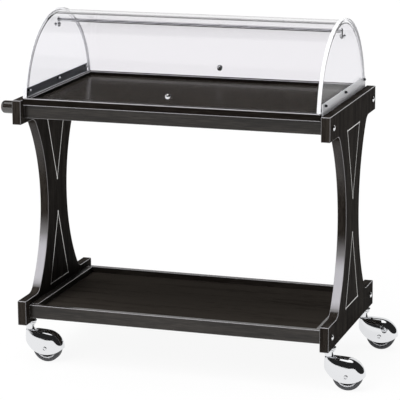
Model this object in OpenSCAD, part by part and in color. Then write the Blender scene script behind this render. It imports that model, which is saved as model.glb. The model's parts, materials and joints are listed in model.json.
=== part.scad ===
// Dessert trolley: two waisted end panels joined by rails, a tray and a lower shelf,
// a roll-top dome in clear acrylic and four swivelling casters under chrome hoods.
// +X runs along the trolley, the front faces -Y, +Z is up, and the floor is Z = 0.

/* [Overall] */
// Length over the outer faces of the two end panels
length = 1000; // [800:10:1300]
// Depth of the end panels, front to back
depth = 560; // [520:5:680]
// Height of the end panels' top edge above the floor
panel_top = 840; // [780:5:900]

/* [End panels] */
// Thickness of each end panel
panel_t = 28; // [24:1:36]
// Height of the straight head at the top of a panel
head_h = 75; // [65:1:90]
// Height of the straight foot at the bottom of a panel
foot_h = 78; // [65:1:90]
// Width left at the panel's waist
waist_w = 156; // [130:2:200]
// Radius of the curve that cuts the waist
waist_r = 460; // [430:5:520]
// Radius that blends the waist into the head and the foot
blend_r = 40; // [20:1:55]
// Height of the panel's bottom edge above the floor
panel_bottom = 128; // [124:1:140]

/* [Inlays] */
// Width of the metal inlay strip
inlay_w = 3; // [2:0.5:5]
// Depth to which the inlay is let into the panel
inlay_depth = 1.5; // [1:0.5:3]
// Diameter of the round stud at each corner of an inlay triangle
stud_d = 7; // [5:0.5:10]
// Half width of the inlay triangles at their bases
triangle_half = 74; // [50:1:90]
// Height of each inlay triangle
triangle_h = 222; // [150:2:240]

/* [Rails] */
// Thickness of the long rails
rail_t = 18; // [16:1:25]
// Height of the rails
rail_h = 42.5; // [36:0.5:60]
// Distance from the panel's edge to the outer face of a rail
rail_inset = 28; // [24:1:40]
// Distance from the panels' top edge down to the upper rails
rail_drop = 15.5; // [14:0.5:25]
// Distance from the panels' bottom edge up to the lower rails' top edge
lower_rail_rise = 60; // [52:1:72]
// Width of the short rails at the ends of the lower shelf
end_rail_w = 22; // [18:1:30]

/* [Tray and shelf] */
// Height of the tray's rim
rim_h = 22.5; // [18:0.5:30]
// Width of the tray's rim
rim_w = 20; // [15:1:30]
// Rounding of the rim's upper edges
rim_round = 3; // [1:0.5:5]
// Distance from the panel's edge to the tray's outer face
tray_inset = 10; // [5:1:20]
// Depth of the tray's board below the top of its rim
tray_recess = 12; // [8:0.5:13]
// Thickness of the lower shelf's board
shelf_t = 10; // [8:1:16]
// Depth of the shelf's board below the top of its rails
shelf_recess = 19; // [10:1:24]

/* [Dome] */
// Distance from the tray's outer face to the edge of the dome's end plates
plate_inset = 0; // [-2:0.5:6]
// Distance from the top of the tray's rim down to the dome's axis
axis_drop = 29; // [25:1:35]
// Thickness of the end plates
plate_t = 12; // [10:0.5:15]
// Thickness of the strip that clamps each end plate
strip_t = 4; // [3:0.5:6]
// Height of the strip that shows above the panel's top edge
strip_rise = 33; // [25:1:45]
// Distance from the end plate's edge to the end of the strip
strip_inset = 12; // [8:1:30]
// Distance from the end of the strip to its outer bolts
strip_bolt_inset = 23; // [13:1:58]

/* [Covers] */
// Thickness of the two curved covers
cover_t = 3; // [2.5:0.5:4]
// Distance from the end plates' edge to the front cover's outer face
cover_inset = 5; // [4:0.5:10]
// Step from the front cover's outer face to the back cover's outer face
cover_step = 8; // [7:0.5:15]
// Gap between each cover's lower edge and the tray's rim
cover_rest = 2; // [1:0.5:6]
// Angle that each cover reaches past the top
cover_lap = 4; // [2:0.5:6]
// Depth of the grooves in the end plates
groove_depth = 5; // [3:0.5:7]
// Gap between a cover and the sides and bottom of its groove
groove_gap = 0.5; // [0.4:0.1:0.8]
// Diameter of the ball knobs
knob_d = 19; // [16:1:20]
// Angle of the front knob above the horizontal
front_knob_angle = 12; // [12:0.5:20]
// Angle of the back knob above the horizontal
back_knob_angle = 15; // [13:0.5:22]

/* [Tie bar] */
// Diameter of the bar between the end plates
tie_d = 10; // [8:0.5:12]
// Gap between the bar and the back cover above it
tie_gap = 16; // [13:1:24]
// Distance of the clamping bolt below the bar
tie_drop = 15; // [13:0.5:20]

/* [Bolts and grips] */
// Diameter of the frame bolts' round caps
cap_d = 17; // [14:0.5:22]
// Diameter of the frame bolts' shanks
bolt_d = 8; // [6:0.5:10]
// Length of a frame bolt beyond the panel, inside its rail
bolt_reach = 45; // [30:1:60]
// Diameter of the turned push grips
grip_d = 40; // [32:1:44]
// Length of the push grips
grip_l = 62; // [45:1:110]
// Gap between a grip and the bolt cap beside it
grip_gap = 2.5; // [0.5:0.5:64]

/* [Casters] */
// Radius of the caster wheels
wheel_r = 46; // [42:1:48]
// Width of the tyre
tyre_w = 32; // [26:1:36]
// Wall between the stem's hole and the wheel's space in the hood
stem_wall = 3; // [1:0.5:9]
// Width of the hood
hood_w = 56; // [52:1:62]
// Gap between the tyre's tread and the inside of the hood
hood_gap = 4; // [3:0.5:6]
// Thickness of the hood's crown
crown_t = 6; // [4:0.5:7]
// Height of the lowest point of the hood's skirt
skirt_z = 26; // [22:1:32]
// Radius of the skirt's curved lower edge
skirt_r = 86; // [80:1:95]
// Distance from the panel's edge to the swivel axis
caster_inset = 64; // [60:1:90]

/* [Hidden] */
$fn = 96;
// Fine division for the large arcs of the panels and the dome
big_fn = 240;
// Overshoot of cutting tools past the faces that they cut
cut = 1;

wood = "#2b2826";
chrome = "#d5d8da";
clear = "#dfe8ec";
rubber = "#3b3b3d";
light_grey = "#b9bbbe";

// Outer and inner faces of the end panels
panel_out = length / 2;
panel_in = panel_out - panel_t;
panel_mid = panel_out - panel_t / 2;
half_depth = depth / 2;
head_bottom = panel_top - head_h;
foot_top = panel_bottom + foot_h;
waist_z = (head_bottom + foot_top) / 2;
waist_y = waist_w / 2 + waist_r;
// Half height of the waist, and where the blend's centre lies
waist_half_h = (head_bottom - foot_top) / 2;
blend_dz = waist_half_h - blend_r;
blend_dy = sqrt(pow(waist_r - blend_r, 2) - pow(blend_dz, 2));
waist_corner_dy = sqrt(pow(waist_r, 2) - pow(waist_half_h, 2));
// Inlay triangles
upper_base_z = head_bottom - 3;
lower_base_z = foot_top + 3;

// Rails, tray and shelf
upper_rail_top = panel_top - rail_drop;
lower_rail_top = panel_bottom + lower_rail_rise;
rail_y_out = half_depth - rail_inset;
rail_y_mid = rail_y_out - rail_t / 2;
rail_y_in = rail_y_out - rail_t;
shelf_x = panel_in - end_rail_w;
shelf_top = lower_rail_top - shelf_recess;
rim_bottom = upper_rail_top;
rim_top = rim_bottom + rim_h;
tray_y = half_depth - tray_inset;

// Dome: the strip lies between the panel and the end plate's outer face
dome_r = tray_y - plate_inset;
axis_z = rim_top - axis_drop;
strip_x = panel_in - strip_t;
plate_out = strip_x;
plate_in = plate_out - plate_t;
tray_x = strip_x;
strip_l = 2 * (dome_r - strip_inset);
strip_bolt_y = strip_l / 2 - strip_bolt_inset;
strip_top = panel_top + strip_rise;
strip_bottom = rim_bottom + 2;
strip_bolt_z = strip_top - 7;
strip_bolt_d = 5;
strip_nut_d = 8;
strip_nut_h = 8;
front_cover_r = dome_r - cover_inset;
back_cover_r = front_cover_r - cover_step;
cover_half_l = plate_in + groove_depth - groove_gap;
tie_z = axis_z + back_cover_r - cover_t - tie_gap - tie_d / 2;
tie_bolt_z = tie_z - tie_drop;
tie_bolt_d = 6;
tie_cap_d = 13;
tie_cap_h = 5;
bracket_t = 3;
bracket_w = 18;
bracket_x = plate_in - bracket_t;

// Knobs
knob_r = knob_d / 2;
knob_neck = 2;
knob_neck_d = 9;
knob_screw_d = 4;
knob_screw_head_d = 8;
knob_screw_reach = 10;

// Frame bolts
cap_h = 6;
upper_bolt_z = upper_rail_top - rail_h / 2;
lower_bolt_z = lower_rail_top - rail_h / 2;
grip_y = rail_y_mid - cap_d / 2 - grip_gap - grip_d / 2;
grip_z = upper_bolt_z + 3;
grip_round = 12;
grip_neck_d = 34;
grip_neck_l = 5;

// Casters, in a frame whose Z axis is the swivel axis, with the floor at 0
caster_y = half_depth - caster_inset;
hood_r = wheel_r + hood_gap + crown_t;
hood_top = wheel_r + hood_r;
// The hood's domed sides and its crown's edges
hood_side_r = 178;
hood_round = 22;
neck_r = 15.5;
neck_rise = 4;
neck_low = wheel_r + neck_rise;
stem_d = 10;
stem_depth = 24;
stem_bottom = hood_top - stem_depth;
stem_reach = 32;
flange_d = 42;
flange_h = 4;
race_gap = 0.6;
race_h = 6;
race_d = 38;
running_gap = 0.05;
axle_d = 8;
rivet_d = 14;
rivet_h = 2.5;
hood_wall = 2.5;
hood_in = hood_w / 2 - hood_wall;
cavity_r = wheel_r + hood_gap;
trail = cavity_r + stem_wall + stem_d / 2;
cavity_side_r = hood_side_r - hood_wall;
cavity_round = 16;
hub_side_gap = 1.5;
hub_d = 20;
rim_r = wheel_r - 11;
rim_inner_r = rim_r - 5;
wheel_rim_w = tyre_w - 4;
web_t = 6;
tyre_round = 7;
tyre_seat_round = 2;

// The whole is moved along X so that the origin is under the middle of its box
x_low = -(panel_out + grip_l);
x_high = panel_mid + trail + hood_r;
shift_x = -(x_low + x_high) / 2;

// ---- general forms -------------------------------------------------------

module placed() {
    translate([shift_x, 0, 0]) children();
}

// Extrudes a drawing in Y and Z along X, between two values of X
module along_x(x0, x1) {
    translate([x0, 0, 0])
        rotate([90, 0, 90])
            linear_extrude(height = x1 - x0) children();
}

// A cylinder along X
module rod_x(x0, x1, d) {
    translate([x0, 0, 0])
        rotate([0, 90, 0])
            cylinder(d = d, h = x1 - x0);
}

// A cylinder along Y, centred
module rod_y(l, d) {
    rotate([90, 0, 0]) cylinder(d = d, h = l, center = true);
}

// A low dome with a flat back, standing on the XY plane
module round_cap(d, h) {
    edge = h * 0.4;
    rotate_extrude()
        intersection() {
            translate([0, h - cap_ball(d, h - edge)]) circle(r = cap_ball(d, h - edge));
            translate([0, edge]) square([d, h]);
        }
    cylinder(d = d, h = edge);
}

// Radius of the ball whose slice has this width and this height
function cap_ball(d, h) = (d * d / 4 + h * h) / (2 * h);

// A rectangle from the origin with its two upper corners rounded
module top_rounded(w, h, r) {
    square([w, h - r]);
    translate([r, 0]) square([w - 2 * r, h]);
    translate([r, h - r]) circle(r = r);
    translate([w - r, h - r]) circle(r = r);
}

// ---- end panels ----------------------------------------------------------

// The void beside the waist, on the +Y side, with its blends filled
module waist_void() {
    corner = waist_y - waist_corner_dy;
    difference() {
        intersection() {
            translate([waist_y, waist_z]) circle(r = waist_r, $fn = big_fn);
            translate([0, foot_top]) square([half_depth + cut, head_bottom - foot_top]);
        }
        for (side = [-1, 1])
            translate([0, waist_z + side * waist_half_h])
                mirror([0, side > 0 ? 0 : 1]) blend_fill(corner);
    }
    translate([corner + blend_r, foot_top])
        square([half_depth + cut - corner - blend_r, head_bottom - foot_top]);
}

// The sharp corner between the waist's arc and the head, left of the blend's arc
module blend_fill(corner) {
    centre = [waist_y - blend_dy, -blend_r];
    k = waist_r / (waist_r - blend_r);
    touch = [waist_y - blend_dy * k, blend_dz * k - waist_half_h];
    difference() {
        polygon([
            [touch[0] - cut, touch[1]], [touch[0] - cut, cut],
            [centre[0], cut], centre, touch
        ]);
        translate(centre) circle(r = blend_r);
    }
}

module panel_outline() {
    difference() {
        translate([-half_depth, panel_bottom])
            square([depth, panel_top - panel_bottom]);
        waist_void();
        mirror([1, 0]) waist_void();
    }
}

// One straight inlay from a to b, as a drawing in Y and Z
module inlay_line(a, b) {
    span = b - a;
    translate(a)
        rotate([0, 0, atan2(span[1], span[0])])
            translate([0, -inlay_w / 2]) square([norm(span), inlay_w]);
}

module inlay_triangle(base_z, apex_z) {
    corners = [[-triangle_half, base_z], [triangle_half, base_z], [0, apex_z]];
    for (i = [0 : 2]) inlay_line(corners[i], corners[(i + 1) % 3]);
    for (c = corners) translate(c) circle(d = stud_d);
}

module inlay_drawing() {
    inlay_triangle(upper_base_z, upper_base_z - triangle_h);
    inlay_triangle(lower_base_z, lower_base_z + triangle_h);
}

// Both faces of the panel whose middle plane is at x
module inlays(x, extra) {
    face = panel_t / 2;
    along_x(x + face - inlay_depth, x + face + extra) inlay_drawing();
    along_x(x - face - extra, x - face + inlay_depth) inlay_drawing();
}

module end_panel(side) {
    x = side * panel_mid;
    color(wood) placed() difference() {
        along_x(x - panel_t / 2, x + panel_t / 2) panel_outline();
        inlays(x, cut);
        for (y = [-rail_y_mid, rail_y_mid], z = [upper_bolt_z, lower_bolt_z])
            translate([0, y, z])
                rod_x(x - panel_t / 2 - cut, x + panel_t / 2 + cut, bolt_d);
        for (y = [-caster_y, caster_y])
            translate([x, y, panel_bottom - cut])
                cylinder(d = stem_d, h = stem_reach + cut);
    }
}

module left_end_panel() { end_panel(-1); }
module right_end_panel() { end_panel(1); }
module left_panel_inlays() { color(chrome) placed() inlays(-panel_mid, 0); }
module right_panel_inlays() { color(chrome) placed() inlays(panel_mid, 0); }

// ---- rails ---------------------------------------------------------------

// A long rail on the front (-1) or back (1), with a bolt hole in each end
module long_rail(side, top) {
    color(wood) placed() difference() {
        translate([-panel_in, side * rail_y_mid - rail_t / 2, top - rail_h])
            cube([2 * panel_in, rail_t, rail_h]);
        for (end = [-1, 1])
            translate([0, side * rail_y_mid, top - rail_h / 2])
                rod_x(end > 0 ? panel_in - bolt_reach : -panel_in - cut,
                      end > 0 ? panel_in + cut : bolt_reach - panel_in, bolt_d);
    }
}

module end_rail(side) {
    x0 = side > 0 ? shelf_x : -panel_in;
    color(wood) placed()
        translate([x0, -rail_y_in, lower_rail_top - rail_h])
            cube([end_rail_w, 2 * rail_y_in, rail_h]);
}

module upper_front_rail() { long_rail(-1, upper_rail_top); }
module upper_back_rail() { long_rail(1, upper_rail_top); }
module lower_front_rail() { long_rail(-1, lower_rail_top); }
module lower_back_rail() { long_rail(1, lower_rail_top); }
module lower_left_rail() { end_rail(-1); }
module lower_right_rail() { end_rail(1); }

module shelf_board() {
    color(wood) placed()
        translate([-shelf_x, -rail_y_in, shelf_top - shelf_t])
            cube([2 * shelf_x, 2 * rail_y_in, shelf_t]);
}

// ---- tray ----------------------------------------------------------------

// One mitred side of the rim: half is its half length, out the distance of its
// outer face from the middle, and turn its direction
module rim_side(half, out, turn) {
    color(wood) placed() rotate([0, 0, turn]) intersection() {
        translate([-half, -out, rim_bottom])
            rotate([90, 0, 90])
                linear_extrude(height = 2 * half) top_rounded(rim_w, rim_h, rim_round);
        translate([0, 0, rim_bottom - cut])
            linear_extrude(height = rim_h + 2 * cut)
                polygon([
                    [-half, -out], [half, -out],
                    [half - rim_w, rim_w - out], [rim_w - half, rim_w - out]
                ]);
    }
}

module tray_front_rim() { rim_side(tray_x, tray_y, 0); }
module tray_back_rim() { rim_side(tray_x, tray_y, 180); }
module tray_left_rim() { rim_side(tray_y, tray_x, -90); }
module tray_right_rim() { rim_side(tray_y, tray_x, 90); }

module tray_board() {
    board_x = tray_x - rim_w;
    board_y = tray_y - rim_w;
    color(wood) placed()
        translate([-board_x, -board_y, rim_bottom])
            cube([2 * board_x, 2 * board_y, rim_h - tray_recess]);
}

// ---- bolts and grips -----------------------------------------------------

module frame_bolts() {
    color(chrome) placed()
        for (side = [-1, 1], y = [-rail_y_mid, rail_y_mid], z = [upper_bolt_z, lower_bolt_z])
            translate([0, y, z]) rotate([0, 0, side > 0 ? 0 : 180]) {
                rod_x(panel_in - bolt_reach, panel_out, bolt_d);
                translate([panel_out, 0, 0]) rotate([0, 90, 0]) round_cap(cap_d, cap_h);
            }
}

// A turned grip with a round end and a short neck at the panel
module grip(y) {
    r = grip_d / 2;
    body_l = grip_l - grip_neck_l;
    color(wood) placed()
        translate([-panel_out, y, grip_z]) rotate([0, -90, 0])
            rotate_extrude() {
                square([grip_neck_d / 2, grip_l - grip_round]);
                translate([0, grip_neck_l]) square([r, body_l - grip_round]);
                square([r - grip_round, grip_l]);
                intersection() {
                    translate([r - grip_round, grip_l - grip_round]) circle(r = grip_round);
                    square([r, grip_l]);
                }
            }
}

module front_grip() { grip(-grip_y); }
module back_grip() { grip(grip_y); }

// ---- dome ----------------------------------------------------------------

module ring(r_out, r_in) {
    difference() {
        circle(r = r_out, $fn = big_fn);
        circle(r = r_in, $fn = big_fn);
    }
}

// A D-shaped end plate with a groove for each cover in its inner face
module dome_end(side) {
    half = dome_r + cut;
    color(clear, 0.4) placed() mirror([side > 0 ? 0 : 1, 0, 0]) difference() {
        along_x(plate_in, plate_out)
            intersection() {
                translate([0, axis_z]) circle(r = dome_r, $fn = big_fn);
                translate([-half, rim_top]) square([2 * half, half]);
            }
        along_x(plate_in - cut, plate_in + groove_depth)
            translate([0, axis_z])
                for (r = [front_cover_r, back_cover_r])
                    ring(r + groove_gap, r - cover_t - groove_gap);
        for (y = [-strip_bolt_y, 0, strip_bolt_y])
            translate([0, y, strip_bolt_z])
                rod_x(plate_in - cut, plate_out + cut, strip_bolt_d);
        translate([0, 0, tie_bolt_z]) rod_x(plate_in - cut, plate_out + cut, tie_bolt_d);
    }
}

module left_dome_end() { dome_end(-1); }
module right_dome_end() { dome_end(1); }

module dome_strip(side) {
    color(chrome) placed() mirror([side > 0 ? 0 : 1, 0, 0]) difference() {
        translate([strip_x, -strip_l / 2, strip_bottom])
            cube([strip_t, strip_l, strip_top - strip_bottom]);
        for (y = [-strip_bolt_y, 0, strip_bolt_y])
            translate([0, y, strip_bolt_z])
                rod_x(strip_x - cut, strip_x + strip_t + cut, strip_bolt_d);
    }
}

module left_dome_strip() { dome_strip(-1); }
module right_dome_strip() { dome_strip(1); }

// Each bolt has a round head inside the plate and a cap nut outside the strip
module strip_bolts() {
    color(chrome) placed()
        for (side = [-1, 1], y = [-strip_bolt_y, 0, strip_bolt_y])
            translate([0, y, strip_bolt_z]) rotate([0, 0, side > 0 ? 0 : 180]) {
                rod_x(plate_in, panel_in, strip_bolt_d);
                translate([plate_in, 0, 0])
                    rotate([0, -90, 0]) round_cap(strip_nut_d, strip_nut_h / 2);
                translate([panel_in, 0, 0])
                    rotate([0, 90, 0]) round_cap(strip_nut_d, strip_nut_h);
            }
}

module tie_bar() {
    color(chrome) placed() translate([0, 0, tie_z]) rod_x(-bracket_x, bracket_x, tie_d);
}

// A tab with rounded ends on the plate's inner face; the bar butts against it
module tie_bracket(side) {
    color(chrome) placed() mirror([side > 0 ? 0 : 1, 0, 0]) difference() {
        along_x(bracket_x, plate_in) {
            translate([0, tie_z]) circle(d = bracket_w);
            translate([0, tie_bolt_z]) circle(d = bracket_w);
            translate([-bracket_w / 2, tie_bolt_z]) square([bracket_w, tie_drop]);
        }
        translate([0, 0, tie_bolt_z]) rod_x(bracket_x - cut, plate_in + cut, tie_bolt_d);
    }
}

module left_tie_bracket() { tie_bracket(-1); }
module right_tie_bracket() { tie_bracket(1); }

module tie_bolts() {
    color(chrome) placed()
        for (side = [-1, 1])
            translate([0, 0, tie_bolt_z]) rotate([0, 0, side > 0 ? 0 : 180]) {
                rod_x(bracket_x, plate_out, tie_bolt_d);
                translate([bracket_x, 0, 0])
                    rotate([0, -90, 0]) round_cap(tie_cap_d, tie_cap_h);
                translate([plate_out, 0, 0])
                    rotate([0, 90, 0]) round_cap(tie_cap_d, tie_cap_h);
            }
}

// ---- covers --------------------------------------------------------------

// The wedge of the drawing plane between two angles, measured from +Y upwards
module wedge(a0, a1) {
    far = 2 * dome_r;
    steps = 4;
    polygon(concat([[0, 0]], [
        for (i = [0 : steps])
            let (a = a0 + (a1 - a0) * i / steps) [far * cos(a), far * sin(a)]
    ]));
}

// A curved sheet from angle a0 to angle a1 with a screw hole at knob_a
module cover(r, a0, a1, knob_a, knob_outside) {
    color(clear, 0.3) placed() difference() {
        along_x(-cover_half_l, cover_half_l)
            translate([0, axis_z])
                intersection() {
                    ring(r, r - cover_t);
                    wedge(a0, a1);
                }
        at_knob(r, knob_a, knob_outside) knob_screw_form(cut);
    }
}

// Places its children on the sheet's face that carries the knob, with +Z
// pointing away from the sheet
module at_knob(r, a, outside) {
    translate([0, 0, axis_z])
        rotate([a - 90, 0, 0])
            translate([0, 0, outside ? r : r - cover_t])
                rotate([outside ? 0 : 180, 0, 0]) children();
}

// A countersunk screw whose head is flush with the sheet's far face
module knob_screw_form(extra) {
    head_h = (knob_screw_head_d - knob_screw_d) / 2;
    translate([0, 0, -cover_t]) cylinder(d = knob_screw_d, h = cover_t + knob_screw_reach);
    translate([0, 0, -cover_t])
        cylinder(d1 = knob_screw_head_d, d2 = knob_screw_d, h = head_h);
    if (extra > 0)
        translate([0, 0, -cover_t - extra]) cylinder(d = knob_screw_head_d, h = extra);
}

module knob(r, a, outside) {
    color(chrome) placed() at_knob(r, a, outside) difference() {
        union() {
            cylinder(d = knob_neck_d, h = knob_neck + knob_r);
            translate([0, 0, knob_neck + knob_r - 1]) sphere(r = knob_r);
        }
        translate([0, 0, -cut]) cylinder(d = knob_screw_d, h = knob_screw_reach + cut);
    }
}

// Angle at which the inner edge of a cover of radius r clears the tray's rim
function rest_angle(r) = asin((axis_drop + cover_rest) / (r - cover_t));

front_a0 = 90 - cover_lap;
front_a1 = 180 - rest_angle(front_cover_r);
back_a0 = rest_angle(back_cover_r);
back_a1 = 90 + cover_lap;
front_knob_a = 180 - front_knob_angle;

module front_cover() { cover(front_cover_r, front_a0, front_a1, front_knob_a, true); }
module back_cover() { cover(back_cover_r, back_a0, back_a1, back_knob_angle, false); }
module front_cover_knob() { knob(front_cover_r, front_knob_a, true); }
module back_cover_knob() { knob(back_cover_r, back_knob_angle, false); }
module front_knob_screw() {
    color(chrome) placed() at_knob(front_cover_r, front_knob_a, true) knob_screw_form(0);
}
module back_knob_screw() {
    color(chrome) placed() at_knob(back_cover_r, back_knob_angle, false) knob_screw_form(0);
}

// ---- casters -------------------------------------------------------------

// Half of a disc's section, for turning about the axle: r is its radius, half
// its half width, and round the radius of its edges
module disc_section(r, half, round) {
    translate([0, -half + round]) square([r, 2 * (half - round)]);
    translate([0, -half]) square([r - round, 2 * half]);
    for (side = [-1, 1])
        intersection() {
            translate([r - round, side * (half - round)]) circle(r = round);
            translate([0, -half]) square([r, 2 * half]);
        }
}

// Half of a domed disc's section: each side is part of a circle of radius side,
// which the crown's edge of radius round meets smoothly
module domed_section(r, half, side, round, side_fn = big_fn) {
    centre_y = side - half;
    edge_r = r - round;
    edge_y = sqrt(pow(side - round, 2) - pow(edge_r, 2)) - centre_y;
    intersection() {
        translate([0, -centre_y]) circle(r = side, $fn = side_fn);
        translate([0, centre_y]) circle(r = side, $fn = side_fn);
        translate([0, -half]) square([edge_r * side / (side - round), 2 * half]);
    }
    intersection() {
        union() {
            translate([edge_r, edge_y]) circle(r = round);
            translate([edge_r, -edge_y]) circle(r = round);
        }
        translate([0, -half]) square([r, 2 * half]);
    }
    translate([0, -edge_y]) square([r, 2 * edge_y]);
}

// Turns a section about the axle
module turned_on_axle() {
    translate([trail, 0, wheel_r]) rotate([90, 0, 0]) rotate_extrude() children();
}

// The screwed-in stem with its round flange, fixed to the panel
module caster_stem() {
    color(chrome) {
        translate([0, 0, stem_bottom])
            cylinder(d = stem_d, h = panel_bottom + stem_reach - stem_bottom);
        translate([0, 0, panel_bottom - flange_h]) cylinder(d = flange_d, h = flange_h);
    }
}

// The race and neck between the flange and the hood, which turn on the stem
module caster_bearing() {
    race_top = panel_bottom - flange_h - race_gap;
    color(chrome) difference() {
        union() {
            translate([0, 0, race_top - race_h]) cylinder(d = race_d, h = race_h);
            translate([0, 0, hood_top]) cylinder(r = neck_r - 2, h = race_top - hood_top);
        }
        translate([0, 0, hood_top - cut])
            cylinder(d = stem_d + 2 * running_gap, h = race_top - hood_top + 2 * cut);
    }
}

// The hood's outer form, smooth over the wheel and drawn in to the stem
module hood_skin() {
    hull() {
        translate([trail, 0, wheel_r])
            rotate([90, 0, 0])
                rotate_extrude($fn = 56)
                    domed_section(hood_r, hood_w / 2, hood_side_r, hood_round, 120, $fn = 28);
        translate([0, 0, neck_low]) cylinder(r = neck_r, h = hood_top - neck_low - 3, $fn = 40);
        translate([0, 0, hood_top - 3]) cylinder(r1 = neck_r, r2 = neck_r - 2, h = 3, $fn = 40);
    }
}

module caster_hood() {
    color(chrome) difference() {
        intersection() {
            hood_skin();
            translate([trail, 0, skirt_z + skirt_r])
                rotate([90, 0, 0])
                    cylinder(r = skirt_r, h = 2 * hood_w, center = true, $fn = big_fn);
        }
        turned_on_axle() domed_section(cavity_r, hood_in, cavity_side_r, cavity_round);
        translate([trail, 0, wheel_r]) rod_y(2 * hood_w, axle_d);
        translate([0, 0, stem_bottom - running_gap])
            cylinder(d = stem_d + 2 * running_gap, h = hood_top);
    }
}

module caster_axle() {
    half = hood_w / 2;
    color(chrome) translate([trail, 0, wheel_r]) {
        rod_y(2 * half, axle_d);
        for (side = [-1, 1])
            translate([0, side * half, 0])
                rotate([side * -90, 0, 0]) round_cap(rivet_d, rivet_h);
    }
}

module caster_wheel() {
    hub_half = hood_in - hub_side_gap;
    color(light_grey) turned_on_axle() {
        bore_r = axle_d / 2 + running_gap;
        translate([bore_r, -hub_half]) square([hub_d / 2 - bore_r, 2 * hub_half]);
        translate([bore_r, -web_t / 2]) square([rim_r - bore_r, web_t]);
        translate([rim_inner_r, -wheel_rim_w / 2]) square([rim_r - rim_inner_r, wheel_rim_w]);
    }
}

module caster_tyre() {
    color(rubber) turned_on_axle() difference() {
        disc_section(wheel_r, tyre_w / 2, tyre_round);
        translate([-cut, -tyre_w]) square([rim_r + cut, 2 * tyre_w]);
    }
}

module at_caster(x_side, y_side) {
    placed() translate([x_side * panel_mid, y_side * caster_y, 0]) children();
}

module front_left_stem() { at_caster(-1, -1) caster_stem(); }
module front_left_bearing() { at_caster(-1, -1) caster_bearing(); }
module front_left_hood() { at_caster(-1, -1) caster_hood(); }
module front_left_axle() { at_caster(-1, -1) caster_axle(); }
module front_left_wheel() { at_caster(-1, -1) caster_wheel(); }
module front_left_tyre() { at_caster(-1, -1) caster_tyre(); }
module front_right_stem() { at_caster(1, -1) caster_stem(); }
module front_right_bearing() { at_caster(1, -1) caster_bearing(); }
module front_right_hood() { at_caster(1, -1) caster_hood(); }
module front_right_axle() { at_caster(1, -1) caster_axle(); }
module front_right_wheel() { at_caster(1, -1) caster_wheel(); }
module front_right_tyre() { at_caster(1, -1) caster_tyre(); }
module back_left_stem() { at_caster(-1, 1) caster_stem(); }
module back_left_bearing() { at_caster(-1, 1) caster_bearing(); }
module back_left_hood() { at_caster(-1, 1) caster_hood(); }
module back_left_axle() { at_caster(-1, 1) caster_axle(); }
module back_left_wheel() { at_caster(-1, 1) caster_wheel(); }
module back_left_tyre() { at_caster(-1, 1) caster_tyre(); }
module back_right_stem() { at_caster(1, 1) caster_stem(); }
module back_right_bearing() { at_caster(1, 1) caster_bearing(); }
module back_right_hood() { at_caster(1, 1) caster_hood(); }
module back_right_axle() { at_caster(1, 1) caster_axle(); }
module back_right_wheel() { at_caster(1, 1) caster_wheel(); }
module back_right_tyre() { at_caster(1, 1) caster_tyre(); }

left_end_panel();
right_end_panel();
left_panel_inlays();
right_panel_inlays();
upper_front_rail();
upper_back_rail();
tray_front_rim();
tray_back_rim();
tray_left_rim();
tray_right_rim();
tray_board();
lower_front_rail();
lower_back_rail();
lower_left_rail();
lower_right_rail();
shelf_board();
frame_bolts();
front_grip();
back_grip();
left_dome_end();
right_dome_end();
left_dome_strip();
right_dome_strip();
strip_bolts();
tie_bar();
left_tie_bracket();
right_tie_bracket();
tie_bolts();
front_cover();
back_cover();
front_cover_knob();
back_cover_knob();
front_knob_screw();
back_knob_screw();
front_left_stem();
front_left_bearing();
front_left_hood();
front_left_axle();
front_left_wheel();
front_left_tyre();
front_right_stem();
front_right_bearing();
front_right_hood();
front_right_axle();
front_right_wheel();
front_right_tyre();
back_left_stem();
back_left_bearing();
back_left_hood();
back_left_axle();
back_left_wheel();
back_left_tyre();
back_right_stem();
back_right_bearing();
back_right_hood();
back_right_axle();
back_right_wheel();
back_right_tyre();
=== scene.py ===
"""Dessert trolley: dark stained end panels and rails, a tray under a clear roll-top
dome, a lower shelf and four swivel casters under chrome hoods. Metres, +Z up."""
import json
import math

import bmesh
import bpy
import numpy as np
from mathutils import Matrix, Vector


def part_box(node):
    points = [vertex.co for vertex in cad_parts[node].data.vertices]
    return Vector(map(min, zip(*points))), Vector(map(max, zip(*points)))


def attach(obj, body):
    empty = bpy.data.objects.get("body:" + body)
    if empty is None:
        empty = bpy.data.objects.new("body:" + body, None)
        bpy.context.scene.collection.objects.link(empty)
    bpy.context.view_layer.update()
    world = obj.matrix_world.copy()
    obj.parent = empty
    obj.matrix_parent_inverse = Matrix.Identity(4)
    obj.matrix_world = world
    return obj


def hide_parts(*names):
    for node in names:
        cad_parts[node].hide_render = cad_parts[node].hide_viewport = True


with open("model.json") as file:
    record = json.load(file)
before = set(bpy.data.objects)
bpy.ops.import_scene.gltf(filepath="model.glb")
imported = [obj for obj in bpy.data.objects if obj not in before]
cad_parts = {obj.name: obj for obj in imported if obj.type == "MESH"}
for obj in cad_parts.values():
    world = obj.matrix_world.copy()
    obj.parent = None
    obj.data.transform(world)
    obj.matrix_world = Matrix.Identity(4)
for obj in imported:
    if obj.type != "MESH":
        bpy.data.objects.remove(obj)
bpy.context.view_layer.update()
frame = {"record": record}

bl_info = {
    "name": "Dessert trolley",
    "version": (1, 0, 0),
    "blender": (4, 5, 0),
    "location": "View3D > Sidebar > Trolley",
    "description": "Builds a wooden dessert trolley with a clear roll-top dome",
    "category": "Add Mesh",
}

MM = 0.001
TURN = 2 * math.pi
X_AXIS, Y_AXIS, Z_AXIS = np.eye(3)
CORNERS = ("front_left", "front_right", "back_left", "back_right")
# Values of the edge attribute on a rounded edge, and where it faces up: it polishes the edge and
# paints a pale highlight on it, brighter where the edge faces up
EDGE_POLISH_AND_HIGHLIGHT, UPWARD_HIGHLIGHT = 0.6, 0.92
# Radius of a turned piece on its axis, so that its end faces keep their corners
TIP = 1e-5
# Rounding of the edges of boards and bars that are only broken with paper
BROKEN_EDGE = 0.0006
# How far the inlay strips are let into the wood
INLAY_SINK = 0.0008
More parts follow.
